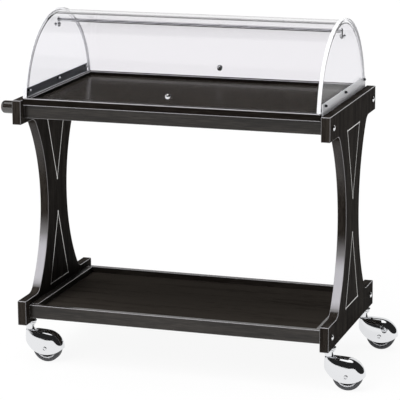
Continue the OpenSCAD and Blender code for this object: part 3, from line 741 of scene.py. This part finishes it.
def rim_shell(low, high, axis, side):
    """A mitred side of the tray's rim. Its section, with a large round on the upper
    edges and a small one below, runs between two ends that are cut at 45 degrees:
    a point that lies d inside the outer face ends d short of the corner."""
    wood = bpy.context.scene.trolley_wood
    big, small = wood.rim_round, wood.rim_round * 0.8
    other = 1 - axis
    width, height = high[other] - low[other], high[2] - low[2]
    section = np.concatenate([
        arc((small, small), small, 180, 270, 6), arc((width - small, small), small, 270, 360, 6),
        arc((width - big, height - big), big, 0, 90, 7),
        arc((big, height - big), big, 90, 180, 7)])
    face = high[other] if side > 0 else low[other]
    # Rings at both ends and a millimetre inside them, where the rounded edges begin
    from_end = np.array([0.0, MM, MM, 0.0])
    points = np.zeros((4, len(section), 3))
    points[:, :, other] = face - side * section[:, 0]
    points[:, :, 2] = low[2] + section[:, 1]
    points[:2, :, axis] = low[axis] + section[:, 0] + from_end[:2, None]
    points[2:, :, axis] = high[axis] - section[:, 0] - from_end[2:, None]
    return closed_rings(points)


def add_board(node, look):
    """A plywood board."""
    add_piece(node + "_wood", node, [bar_along(2, *low_high(node), BROKEN_EDGE)], look,
              "black_wood")


class TROLLEY_OT_tray(bpy.types.Operator):
    """Add the tray's board and its mitred rim"""
    bl_idname = "trolley.tray"
    bl_label = "Tray"

    def execute(self, context):
        sides = [("tray_front_rim", 0, -1), ("tray_back_rim", 0, 1),
                 ("tray_left_rim", 1, -1), ("tray_right_rim", 1, 1)]
        for node, axis, side in sides:
            add_piece(node + "_wood", node, [rim_shell(*low_high(node), axis, side)],
                      "stained_rim_along_" + "xyz"[axis], "black_wood")
        add_board("tray_board", "stained_tray_along_x")
        return {"FINISHED"}


class TROLLEY_OT_shelf(bpy.types.Operator):
    """Add the lower shelf's board"""
    bl_idname = "trolley.shelf"
    bl_label = "Shelf"

    def execute(self, context):
        add_board("shelf_board", "stained_shelf_along_x")
        return {"FINISHED"}


class TROLLEY_OT_grips(bpy.types.Operator):
    """Add the two turned push grips"""
    bl_idname = "trolley.grips"
    bl_label = "Push grips"

    def execute(self, context):
        for node in ("front_grip", "back_grip"):
            low, high = low_high(node)
            length, radius = high[0] - low[0], (high[1] - low[1]) / 2
            neck, neck_length, end = radius * 0.85, 0.005, 0.012
            profile = np.concatenate([
                [[TIP, 0], [neck, 0]],
                rounded_steps([[neck, 0.0002], [neck, neck_length], [radius, neck_length],
                               [radius, length / 2]], 0.0012),
                arc((radius - end, length - end), end, 0, 90, 9), [[TIP, length]]])
            centre = (high[0], (low[1] + high[1]) / 2, (low[2] + high[2]) / 2)
            add_piece(node + "_wood", node, [turned(profile, centre, -X_AXIS, 64)],
                      "stained_grip_along_x", "black_wood")
        return {"FINISHED"}


# ---- bolts, strips and the tie bar -------------------------------------------


def bolt_shells(face_x, side, points, width, height, shank, reach):
    """Round caps of this width and height on a face, with shanks behind it."""
    cap = round_cap_profile(width, height)
    cap[0] = (TIP, -reach)
    cap = np.insert(cap, 1, [(shank / 2, -reach), (shank / 2, 0)], axis=0)
    return [turned(cap, (face_x, y, z), side * X_AXIS, 32) for y, z in points]


class TROLLEY_OT_bolts(bpy.types.Operator):
    """Add the frame bolts with their round caps"""
    bl_idname = "trolley.bolts"
    bl_label = "Frame bolts"

    def execute(self, context):
        low, high = low_high("frame_bolts")
        left, right = low_high("left_end_panel")[0][0], low_high("right_end_panel")[1][0]
        width = 0.017
        y = high[1] - width / 2
        levels = (high[2] - width / 2, low[2] + width / 2)
        points = [(s * y, z) for s in (-1, 1) for z in levels]
        shells = []
        for face, side in ((left, -1), (right, 1)):
            shells += bolt_shells(face, side, points, width, high[0] - right,
                                  shank=0.008, reach=0.073)
        add_piece("frame_bolt_caps", "frame_bolts", shells, "chrome_plate", "chrome")
        return {"FINISHED"}


class TROLLEY_OT_strips(bpy.types.Operator):
    """Add the strips that hold the dome's end plates, with their bolts"""
    bl_idname = "trolley.strips"
    bl_label = "Dome strips"

    def execute(self, context):
        for node in ("left_dome_strip", "right_dome_strip"):
            add_piece(node + "_metal", node, [bar_along(1, *low_high(node), BROKEN_EDGE)],
                      "satin_aluminium", "strip_metal")
        low, high = low_high("strip_bolts")
        mid = (low[0] + high[0]) / 2
        outer = low_high("right_dome_strip")[1][0] - mid
        inner = low_high("right_dome_end")[0][0] - mid
        nut = 0.008
        y = high[1] - nut / 2
        points = [(v, high[2] - nut / 2) for v in (-y, 0.0, y)]
        shells = []
        for side in (-1, 1):
            shells += bolt_shells(mid + side * outer, side, points, nut, height=0.008,
                                  shank=0.005, reach=0.010)
            shells += bolt_shells(mid + side * inner, -side, points, nut, height=0.004,
                                  shank=0.005, reach=0.004)
        # Outer nuts dark and inner caps in the strips' pale metal: painted dark and light
        # reflections
        caps = add_piece("strip_bolt_caps", "strip_bolts", shells, "burnished_steel", "chrome")
        second_finish(caps, "satin_aluminium", lambda at, _: np.abs(at[:, 0] - mid) < inner)
        return {"FINISHED"}


class TROLLEY_OT_tie_bar(bpy.types.Operator):
    """Add the bar between the end plates, its tabs and its bolts"""
    bl_idname = "trolley.tie_bar"
    bl_label = "Tie bar"

    def execute(self, context):
        low, high = low_high("tie_bar")
        radius = (high[2] - low[2]) / 2
        z = (high[2] + low[2]) / 2
        length = high[0] - low[0]
        rod = turned([(TIP, 0), (radius, 0), (radius, length / 2), (radius, length),
                      (TIP, length)], (low[0], 0, z), X_AXIS, 40)
        add_piece("tie_bar_metal", "tie_bar", [rod], "chrome_plate", "chrome")
        for node in ("left_tie_bracket", "right_tie_bracket"):
            tab_low, tab_high = low_high(node)
            half = (tab_high[1] - tab_low[1]) / 2
            outline, normals = rounded_rectangle(
                tab_low[1:], tab_high[1:], half - TIP, steps=12)
            shell = slab(outline, normals, tab_low[0], tab_high[0], 0.0005, [2, 0, 1])
            add_piece(node + "_metal", node, [shell], "chrome_plate", "chrome")
        bolt_low, bolt_high = low_high("tie_bolts")
        bolt_z = (bolt_low[2] + bolt_high[2]) / 2
        width = bolt_high[2] - bolt_low[2]
        mid = (low[0] + high[0]) / 2
        plate_high = low_high("right_dome_end")[1][0]
        shells = []
        for side in (-1, 1):
            outer = mid + side * (plate_high - mid)
            inner = mid + side * (high[0] - mid)
            reach = abs(outer - inner) / 2
            cap = bolt_high[0] - plate_high
            for face, way in ((outer, side), (inner, -side)):
                shells += bolt_shells(face, way, [(0.0, bolt_z)], width, cap,
                                      shank=0.006, reach=reach)
        add_piece("tie_bolt_caps", "tie_bolts", shells, "chrome_plate", "chrome")
        return {"FINISHED"}


# ---- the dome ----------------------------------------------------------------


def dome_axis():
    """The height of the covers' axis and the middle of the trolley in X, from the
    joint that turns the front cover."""
    for joint in frame["record"]["behaviour"]["joints"]:
        if joint["name"] == "front_cover_roll":
            return joint["pos_m"][0], joint["pos_m"][2]
    raise KeyError("front_cover_roll")


def plate_shell(side, inner, outer, radius, chord, grooves, depth, edge):
    """A D-shaped plate in polar form about the dome's axis: at each angle its
    section runs from the chord, where the radius is the chord's height over the
    sine of the angle, out to the rim, with a notch at each groove."""
    mid, axis_z = dome_axis()
    start = math.asin(chord / (radius - edge)) + 1e-4
    angle = np.linspace(start, math.pi - start, 181)
    radii = [0.0]
    depths = [inner]
    for low, high in grooves:
        radii += [low, low, high, high]
        depths += [inner, inner + depth, inner + depth, inner]
    radii += [radius - edge, radius, radius, radius - edge, 0.0]
    depths += [inner, inner + edge, outer - edge, outer, outer]
    chord_radius = chord / np.sin(angle)
    r = np.maximum(np.array(radii)[None], chord_radius[:, None])
    points = np.stack([
        np.broadcast_to(mid + side * np.array(depths)[None], r.shape),
        r * np.cos(angle)[:, None], axis_z + r * np.sin(angle)[:, None]], axis=-1)
    return closed_rings(points)


class TROLLEY_OT_dome_ends(bpy.types.Operator):
    """Add the two clear end plates"""
    bl_idname = "trolley.dome_ends"
    bl_label = "Dome end plates"

    def execute(self, context):
        dome = context.scene.trolley_dome
        mid, axis_z = dome_axis()
        for node, side in (("left_dome_end", -1), ("right_dome_end", 1)):
            low, high = low_high(node)
            outer = max(abs(low[0] - mid), abs(high[0] - mid))
            inner = min(abs(low[0] - mid), abs(high[0] - mid))
            grooves = []
            for cover in ("back_cover", "front_cover"):
                r = low_high(cover)[1][2] - axis_z
                grooves.append((r - dome.cover_thickness - dome.groove_gap,
                                r + dome.groove_gap))
            # Its sawn bottom is lifted off the rim's top, so that no two faces share a plane
            lift = 0.0003
            bottom = low[2] - axis_z + lift
            shell = plate_shell(side, inner, outer, high[2] - axis_z, bottom,
                                grooves, dome.groove_depth, dome.edge_break)
            plate = add_piece(node + "_clear", node, [shell], "thick_acrylic",
                              "clear_acrylic")

            def sawn(at, facing):
                """The rim with its broken edges, and the bottom."""
                rim = np.hypot(at[:, 1], at[:, 2] - axis_z) > high[2] - axis_z - MM
                bottom = (facing[:, 2] < -0.9) & (at[:, 2] < low[2] + MM)
                return rim & (np.abs(facing[:, 0]) < 0.9) | bottom

            second_finish(plate, "sawn_acrylic", sawn)
        return {"FINISHED"}


def cover_shell(radius, thickness, half, start, end, edge):
    """A curved sheet: a rectangle with broken corners, carried round the dome's
    axis from one angle to the other."""
    mid, axis_z = dome_axis()
    low, high = radius - thickness, radius
    section = np.array([
        (low, -half + edge), (low + edge, -half), (high - edge, -half), (high, -half + edge),
        (high, half - edge), (high - edge, half), (low + edge, half), (low, half - edge)])
    angle = np.radians(np.linspace(start, end, 97))
    r = section[None, :, 0]
    points = np.stack([
        np.broadcast_to(mid + section[None, :, 1], (len(angle), len(section))),
        r * np.cos(angle)[:, None], axis_z + r * np.sin(angle)[:, None]], axis=-1)
    return closed_rings(points)


def cover_angles(node, thickness):
    """The outer radius and the two end angles of a cover, from its CAD box."""
    axis_z = dome_axis()[1]
    low, high = low_high(node)
    radius = high[2] - axis_z
    rest = math.degrees(math.asin((low[2] - axis_z) / (radius - thickness)))
    lap = math.degrees(math.asin(min(abs(low[1]), abs(high[1])) / radius))
    return (radius, 90 - lap, 180 - rest) if high[1] < -low[1] else (radius, rest, 90 + lap)


class TROLLEY_OT_covers(bpy.types.Operator):
    """Add the two clear covers"""
    bl_idname = "trolley.covers"
    bl_label = "Roll-top covers"

    def execute(self, context):
        dome = context.scene.trolley_dome
        for node in ("front_cover", "back_cover"):
            low, high = low_high(node)
            radius, start, end = cover_angles(node, dome.cover_thickness)
            shell = cover_shell(radius, dome.cover_thickness, (high[0] - low[0]) / 2,
                                start, end, dome.edge_break)
            add_piece(node + "_clear", node, [shell], "cast_acrylic", "clear_acrylic",
                      node + "_body")
        return {"FINISHED"}


class TROLLEY_OT_knobs(bpy.types.Operator):
    """Add the ball knobs and their screws"""
    bl_idname = "trolley.knobs"
    bl_label = "Cover knobs"

    def execute(self, context):
        dome = context.scene.trolley_dome
        mid, axis_z = dome_axis()
        chrome = ("chrome_plate", "chrome")
        for name in ("front", "back"):
            low, high = low_high(name + "_cover_knob")
            radius = low_high(name + "_cover")[1][2] - axis_z
            centre = (low + high) / 2
            outside = name == "front"
            away = np.array([0.0, centre[1], centre[2] - axis_z])
            away /= np.linalg.norm(away)
            foot = np.array([mid, 0.0, axis_z]) + away * (
                radius if outside else radius - dome.cover_thickness)
            way = away if outside else -away
            # A ball whose lower side is cut where the neck carries it
            ball, neck, neck_radius = 0.0095, 0.002, 0.0045
            profile = np.concatenate([
                [[TIP, 0], [neck_radius, 0]],
                arc((0, neck + ball - MM), ball, -62, 90, 22)])
            profile[-1, 0] = TIP
            add_piece(name + "_knob_ball", name + "_cover_knob",
                      [turned(profile, foot, way, 40)], *chrome, name + "_cover_body")
            head, shank, reach = 0.004, 0.002, 0.010
            screw = [(TIP, 0), (head, 0), (shank, head - shank), (shank, reach), (TIP, reach)]
            back = foot - way * dome.cover_thickness
            add_piece(name + "_knob_screw_steel", name + "_knob_screw",
                      [turned(screw, back, way, 24)], *chrome, name + "_cover_body")
        return {"FINISHED"}


# ---- casters -----------------------------------------------------------------


def domed_disc_point(n, radius, half, side, edge):
    """Where a plane with normal n touches a domed disc that is turned about Y. Each
    side is part of a ball of radius side, and an edge of radius edge joins the two:
    where the normal leans from Y by more than the angle of their meeting point, the
    plane touches the edge, and otherwise the side."""
    lean = np.sqrt(n[..., 0] ** 2 + n[..., 2] ** 2) + 1e-9
    meeting = (radius - edge) / (side - edge)
    level = math.sqrt((side - edge) ** 2 - (radius - edge) ** 2) - (side - half)
    on_side = lean < meeting
    reach = np.where(on_side, side * lean, radius - edge + edge * lean)
    height = np.where(on_side, side * np.abs(n[..., 1]) - (side - half),
                      level + edge * np.abs(n[..., 1]))
    # The plane's contact moves from one side to the other across the crown
    sign = np.tanh(40 * n[..., 1])
    return np.stack([reach * n[..., 0] / lean, sign * height, reach * n[..., 2] / lean], axis=-1)


def neck_point(n, radius, low, high, crown, edge):
    """Where a plane with normal n touches an upright barrel: its side is an arc of
    radius crown, widest at its middle, with an edge of radius edge above and below.
    Heights are measured from the floor."""
    level = np.sqrt(n[..., 0] ** 2 + n[..., 1] ** 2) + 1e-9
    middle, half = (low + high) / 2, (high - low) / 2
    turn = math.asin((half - edge) / (crown - edge))
    tilt = np.arctan2(n[..., 2], level)
    inside = np.clip(tilt, -turn, turn)
    width = radius - crown * (1 - np.cos(inside)) - edge * (np.cos(inside) - np.cos(tilt))
    height = middle + crown * np.sin(inside) + edge * (np.sin(tilt) - np.sin(inside))
    return np.stack([width * n[..., 0] / level, width * n[..., 1] / level, height], axis=-1)


def hood_shell(swivel, axle, top, half_width):
    """A caster's hood. Its skin joins a domed disc over the wheel and a barrel-shaped
    neck at the swivel, like a skin drawn over both: a and b are the distances of the
    planes with normal n that touch them, the skin's own plane lies at
    s ln(exp(a / s) + exp(b / s)) with s the swelling, and its point is the mean of the
    two touching points, weighted by the same exponentials, moved out to that plane.
    The skin ends at a curved edge, an arc in X and Z, and turns back inside at the
    wall's thickness."""
    caster = bpy.context.scene.trolley_caster
    columns, rows, lowest = 144, 84, math.radians(140)
    azimuth = np.linspace(0, TURN, columns, endpoint=False)
    polar = np.linspace(0.0, lowest, 5 * rows)
    n = np.stack([
        np.sin(polar)[:, None] * np.cos(azimuth)[None],
        np.sin(polar)[:, None] * np.sin(azimuth)[None],
        np.broadcast_to(np.cos(polar)[:, None], (len(polar), columns))], axis=-1)
    swell = caster.swelling
    # Where disc and neck reach equally far, the skin swells by ln 2, about 0.7 of swell
    crest = top - swell * 0.7
    disc = domed_disc_point(n, crest - axle[2], half_width, caster.side_radius,
                            caster.crown_round) + axle
    post = neck_point(n, caster.neck_radius, axle[2] + MM, crest, caster.side_radius,
                      caster.neck_round)
    post = post + np.array([swivel[0], swivel[1], 0.0])
    a, b = (disc * n).sum(-1), (post * n).sum(-1)
    share = 1 / (1 + np.exp(-np.clip((a - b) / swell, -40, 40)))
    plane = np.maximum(a, b) + swell * np.log1p(np.exp(-np.abs(a - b) / swell))
    skin = share[..., None] * disc + (1 - share[..., None]) * post
    skin += (plane - (skin * n).sum(-1))[..., None] * n
    # The curved lower edge: each column ends where it meets the arc
    drop = np.sqrt(np.maximum(caster.skirt_radius ** 2 - (skin[..., 0] - axle[0]) ** 2, 0))
    above = skin[..., 2] - (caster.skirt_height + caster.skirt_radius - drop)
    outer = np.zeros((rows, columns, 3))
    facing = np.zeros_like(outer)
    for column in range(columns):
        crossing = int(np.argmax(above[:, column] < 0)) or len(polar) - 1
        upper, lower = above[crossing - 1, column], above[crossing, column]
        stop = crossing - 1 + upper / (upper - lower)
        # Rows are spaced evenly along the skin
        places = np.append(np.arange(crossing, dtype=float), stop)
        path = between_rows(skin[:, column], places)
        step = np.append(0, np.linalg.norm(np.diff(path, axis=0), axis=1).cumsum())
        at = np.interp(np.linspace(0, step[-1], rows), step, places)
        outer[:, column] = between_rows(skin[:, column], at)
        facing[:, column] = between_rows(n[:, column], at)
    facing /= np.linalg.norm(facing, axis=-1, keepdims=True)
    inner = outer - caster.wall * facing
    inner[:, :, 2] = np.maximum(inner[:, :, 2], outer[-1:, :, 2])
    rings = np.concatenate([outer, inner[::-1]])
    return closed_rings(rings)


class TROLLEY_OT_casters(bpy.types.Operator):
    """Add the four casters"""
    bl_idname = "trolley.casters"
    bl_label = "Casters"

    def execute(self, context):
        for corner in CORNERS:
            self.add_caster(context.scene.trolley_caster, corner)
        return {"FINISHED"}

    def add_caster(self, caster, corner):
        """The six pieces of the caster at one corner."""
        def add(kind, ending, shell, body, look="chrome_plate", slot="chrome", sharp=40):
            node = corner + "_" + kind
            return add_piece(node + ending, node, [shell], look, slot, body, sharp)

        swivel_body, roller_body = corner + "_swivel", corner + "_roller"
        stem_low, stem_high = low_high(corner + "_stem")
        swivel = (stem_low + stem_high) / 2
        tyre_low, tyre_high = low_high(corner + "_tyre")
        axle = (tyre_low + tyre_high) / 2
        wheel_radius = (tyre_high[2] - tyre_low[2]) / 2
        hood_low, hood_high = low_high(corner + "_hood")
        half = (hood_high[1] - hood_low[1]) / 2

        add("hood", "_shell", hood_shell(swivel, axle, hood_high[2], half), swivel_body,
            sharp=60)

        panel = low_high("left_end_panel")[0][2]
        flange, thick, bevel = 0.021, 0.004, 0.0008
        stem = [(TIP, stem_low[2]), (STEM_RADIUS, stem_low[2]), (STEM_RADIUS, panel - thick),
                (flange - bevel, panel - thick), (flange, panel - thick + bevel),
                (flange, panel), (STEM_RADIUS, panel), (STEM_RADIUS, stem_high[2]),
                (TIP, stem_high[2])]
        base = (swivel[0], swivel[1], 0.0)
        add("stem", "_steel", turned(stem, base, Z_AXIS, 48), "frame")

        low, high = low_high(corner + "_bearing")
        race, race_low, bore = (high[0] - low[0]) / 2, high[2] - 0.006, STEM_RADIUS + PLAY
        neck = caster.neck_radius - 0.002
        profile = np.concatenate([
            [[bore, low[2]], [neck, low[2]]],
            rounded_steps([[neck, low[2] + 0.0001], [neck, race_low], [race, race_low],
                           [race, high[2]], [bore, high[2]]], 0.0015)])
        add("bearing", "_steel", ring_turned(profile, base, Z_AXIS, 56), swivel_body)

        # Each end of the axle is riveted over: a rolled edge round a hollow
        head = rounded_steps([[0.007, 0], [0.007, 0.0016], [0.0055, 0.0025], [0.0042, 0.0025],
                              [0.0034, 0.0008], [TIP, 0.0008]], 0.0006)
        rod = np.concatenate([
            (head * (1, -1) - (0, half))[::-1], [[AXLE_RADIUS, -half], [AXLE_RADIUS, half]],
            head + (0, half)])
        add("axle", "_steel", turned(rod, axle, Y_AXIS, 40), swivel_body)

        rim = wheel_radius - caster.tyre_depth
        hub, hub_half, rim_half, web, bore = 0.010, 0.025, 0.014, 0.003, AXLE_RADIUS + PLAY
        inner = rim - 0.005
        side = np.array([(hub, hub_half), (hub + MM, web), (inner - MM, web),
                         (inner, rim_half), (rim, rim_half)])
        section = rounded_steps(np.concatenate([
            [(bore, -hub_half)], side * (1, -1), side[::-1], [(bore, hub_half)]]), 0.0012)
        wheel = add("wheel", "_plastic", ring_turned(section, axle, Y_AXIS, 72), roller_body,
                    "wheel_plastic", "grey_plastic")
        # The web and hub inside the rim take the dark colour, painted shade
        second_finish(wheel, "web_plastic", lambda at, _: np.hypot(
            at[:, 0] - axle[0], at[:, 2] - axle[2]) < inner)

        half = (tyre_high[1] - tyre_low[1]) / 2
        soft = 0.007
        section = np.concatenate([
            [[rim, -half + MM], [rim + MM, -half]],
            arc((wheel_radius - soft, -half + soft), soft, -90, 0, 9),
            arc((wheel_radius - soft, half - soft), soft, 0, 90, 9),
            [[rim + MM, half], [rim, half - MM]]])
        add("tyre", "_rubber", ring_turned(section, axle, Y_AXIS, 96), roller_body,
            "tyre_rubber", "tyre")


# ---- stage -------------------------------------------------------------------


def set_axes(thing, right, up, back, place):
    """Gives a lamp or camera its three axes and its place."""
    matrix = np.eye(4)
    matrix[:3, 0], matrix[:3, 1], matrix[:3, 2], matrix[:3, 3] = right, up, back, place
    thing.matrix_world = Matrix(matrix.tolist())


class TROLLEY_OT_stage(bpy.types.Operator):
    """Add the floor, the light and the camera"""
    bl_idname = "trolley.stage"
    bl_label = "Stage"

    def execute(self, context):
        scene = context.scene
        settings = scene.trolley_stage
        self.add_floor(settings)
        self.add_world(scene)
        for name, values in LAMPS.items():
            self.add_lamp(name, *values)
        self.add_camera(scene, settings)
        scene.view_settings.view_transform = "Standard"
        return {"FINISHED"}

    def add_floor(self, settings):
        """A large white floor that keeps the object's shadow. The camera, and the
        metal and the clear covers, see it partly as plain white."""
        half = settings.floor_size / 2
        mesh = bpy.data.meshes.new("floor")
        mesh.from_pydata([(-half, -half, 0), (half, -half, 0), (half, half, 0),
                          (-half, half, 0)], [], [(0, 1, 2, 3)])
        # Seamless white background paper, matt
        material, tree = new_material("background_paper")
        paper = add_node(tree, "ShaderNodeBsdfDiffuse", {"Color": linear(settings.floor)})
        plain = add_node(tree, "ShaderNodeEmission", {"Color": (1, 1, 1, 1), "Strength": 1.0})
        path = add_node(tree, "ShaderNodeLightPath")
        seen = add_node(tree, "ShaderNodeMath", {"operation": "MAXIMUM"}, {
            0: path.outputs["Is Camera Ray"], 1: path.outputs["Is Glossy Ray"]})
        seen = add_node(tree, "ShaderNodeMath", {"operation": "MAXIMUM"}, {
            0: seen.outputs[0], 1: path.outputs["Is Transmission Ray"]})
        share = add_node(tree, "ShaderNodeMath", {
            "operation": "MULTIPLY", 1: settings.plain_share}, {0: seen.outputs[0]})
        mix = add_node(tree, "ShaderNodeMixShader", {}, {
            0: share.outputs[0], 1: paper.outputs["BSDF"], 2: plain.outputs["Emission"]})
        add_node(tree, "ShaderNodeOutputMaterial", {}, {"Surface": mix.outputs["Shader"]})
        mesh.materials.append(material)
        add_object("floor", mesh)

    def add_world(self, scene):
        """A dim studio with one round softbox overhead, a little to the front left,
        a white reflector on the left and a white backdrop, which isn't seen through both
        covers: a ray that has gone in and out of both has passed four faces. The camera,
        and the clear covers where no reflection comes before them, see plain white."""
        world = bpy.data.worlds.new("studio")
        scene.world = world
        world.use_nodes = True
        tree = world.node_tree
        tree.nodes.clear()
        direction = add_node(tree, "ShaderNodeTexCoord").outputs["Generated"]

        def round_light(aim, inner, outer, level):
            """A round patch of this level, fading from inner to outer degrees."""
            aim = np.array(aim) / np.linalg.norm(aim)
            toward = add_node(tree, "ShaderNodeVectorMath", {
                "operation": "DOT_PRODUCT", 1: aim.tolist()}, {0: direction})
            return add_node(tree, "ShaderNodeMapRange", {
                "From Min": math.cos(math.radians(outer)),
                "From Max": math.cos(math.radians(inner)), "To Min": STUDIO_DARK,
                "To Max": level},
                {"Value": toward.outputs["Value"]}).outputs["Result"]

        softbox = round_light(*SOFTBOX)
        reflector = round_light(*REFLECTOR)
        backdrop = round_light(*BACKDROP)
        level = add_node(tree, "ShaderNodeMath", {"operation": "MAXIMUM"},
                         {0: softbox, 1: reflector})
        path = add_node(tree, "ShaderNodeLightPath")
        # Through both covers is four faces
        outside = add_node(tree, "ShaderNodeMath", {"operation": "LESS_THAN", 1: 3.5},
                           {0: path.outputs["Transmission Depth"]})
        backdrop = add_node(tree, "ShaderNodeMath", {"operation": "MULTIPLY"},
                            {0: outside.outputs[0], 1: backdrop}).outputs[0]
        level = add_node(tree, "ShaderNodeMath", {"operation": "MAXIMUM"},
                         {0: level.outputs[0], 1: backdrop})
        # With no reflection before it, the depth is 0
        direct = add_node(tree, "ShaderNodeMath", {"operation": "LESS_THAN", 1: 0.5},
                          {0: path.outputs["Glossy Depth"]})
        clear = add_node(tree, "ShaderNodeMath", {"operation": "MULTIPLY"}, {
            0: path.outputs["Is Transmission Ray"], 1: direct.outputs[0]})
        seen = add_node(tree, "ShaderNodeMath", {"operation": "MAXIMUM"}, {
            0: path.outputs["Is Camera Ray"], 1: clear.outputs[0]})
        strength = add_node(tree, "ShaderNodeMix", {"data_type": "FLOAT", 3: 1.0},
                            {0: seen.outputs[0], 2: level.outputs[0]})
        background = add_node(tree, "ShaderNodeBackground", {"Color": (1, 1, 1, 1)},
                              {"Strength": strength.outputs[0]})
        add_node(tree, "ShaderNodeOutputWorld", {},
                 {"Surface": background.outputs["Background"]})

    def add_lamp(self, name, energy, angle, back):
        """A broad, far lamp whose light comes from the direction back, kept out of
        the reflections."""
        data = bpy.data.lights.new(name, "SUN")
        data.energy = energy
        data.angle = math.radians(angle)
        lamp = add_object(name, data)
        lamp.visible_glossy = False
        lamp.visible_transmission = False
        back = np.array(back) / np.linalg.norm(back)
        side = np.cross(Y_AXIS, back)
        side /= np.linalg.norm(side)
        set_axes(lamp, side, np.cross(back, side), back, 6 * back)

    def add_camera(self, scene, settings):
        """The photograph's view: from the front right, a little above."""
        data = bpy.data.cameras.new("photo_view")
        data.sensor_width = 36.0
        data.lens = settings.lens
        data.clip_end = 200.0
        camera = add_object("photo_view", data)
        yaw, pitch, roll = np.radians([CAMERA_YAW, CAMERA_PITCH, CAMERA_ROLL])
        forward = np.array([-np.sin(yaw) * np.cos(pitch), np.cos(yaw) * np.cos(pitch),
                            -np.sin(pitch)])
        right = np.array([np.cos(yaw), np.sin(yaw), 0.0])
        up = np.cross(right, forward)
        right, up = (np.cos(roll) * right + np.sin(roll) * up,
                     -np.sin(roll) * right + np.cos(roll) * up)
        set_axes(camera, right, up, -forward, CAMERA_PLACE)
        scene.camera = camera


# ---- add-on ------------------------------------------------------------------

OPERATORS = (
    TROLLEY_OT_end_panels, TROLLEY_OT_inlays, TROLLEY_OT_rails, TROLLEY_OT_tray,
    TROLLEY_OT_shelf, TROLLEY_OT_grips, TROLLEY_OT_bolts, TROLLEY_OT_strips,
    TROLLEY_OT_tie_bar, TROLLEY_OT_dome_ends, TROLLEY_OT_covers, TROLLEY_OT_knobs,
    TROLLEY_OT_casters, TROLLEY_OT_stage,
)


class TROLLEY_PT_sidebar(bpy.types.Panel):
    """The trolley's pieces and settings in the 3D view's sidebar"""
    bl_idname = "TROLLEY_PT_sidebar"
    bl_label = "Dessert trolley"
    bl_space_type = "VIEW_3D"
    bl_region_type = "UI"
    bl_category = "Trolley"

    def draw(self, context):
        for operator in OPERATORS:
            self.layout.operator(operator.bl_idname)
        for name, group in SETTINGS.items():
            box = self.layout.box()
            for key in group.__annotations__:
                box.prop(getattr(context.scene, name), key)


def register():
    for group in SETTINGS.values():
        bpy.utils.register_class(group)
    for name, group in SETTINGS.items():
        setattr(bpy.types.Scene, name, bpy.props.PointerProperty(type=group))
    for operator in OPERATORS:
        bpy.utils.register_class(operator)
    bpy.utils.register_class(TROLLEY_PT_sidebar)


def unregister():
    bpy.utils.unregister_class(TROLLEY_PT_sidebar)
    for operator in reversed(OPERATORS):
        bpy.utils.unregister_class(operator)
    for name, group in SETTINGS.items():
        delattr(bpy.types.Scene, name)
        bpy.utils.unregister_class(group)


def main():
    """Builds every piece and the stage."""
    register()
    for operator in OPERATORS:
        group, name = operator.bl_idname.split(".")
        getattr(getattr(bpy.ops, group), name)()


if __name__ == "__main__":
    main()
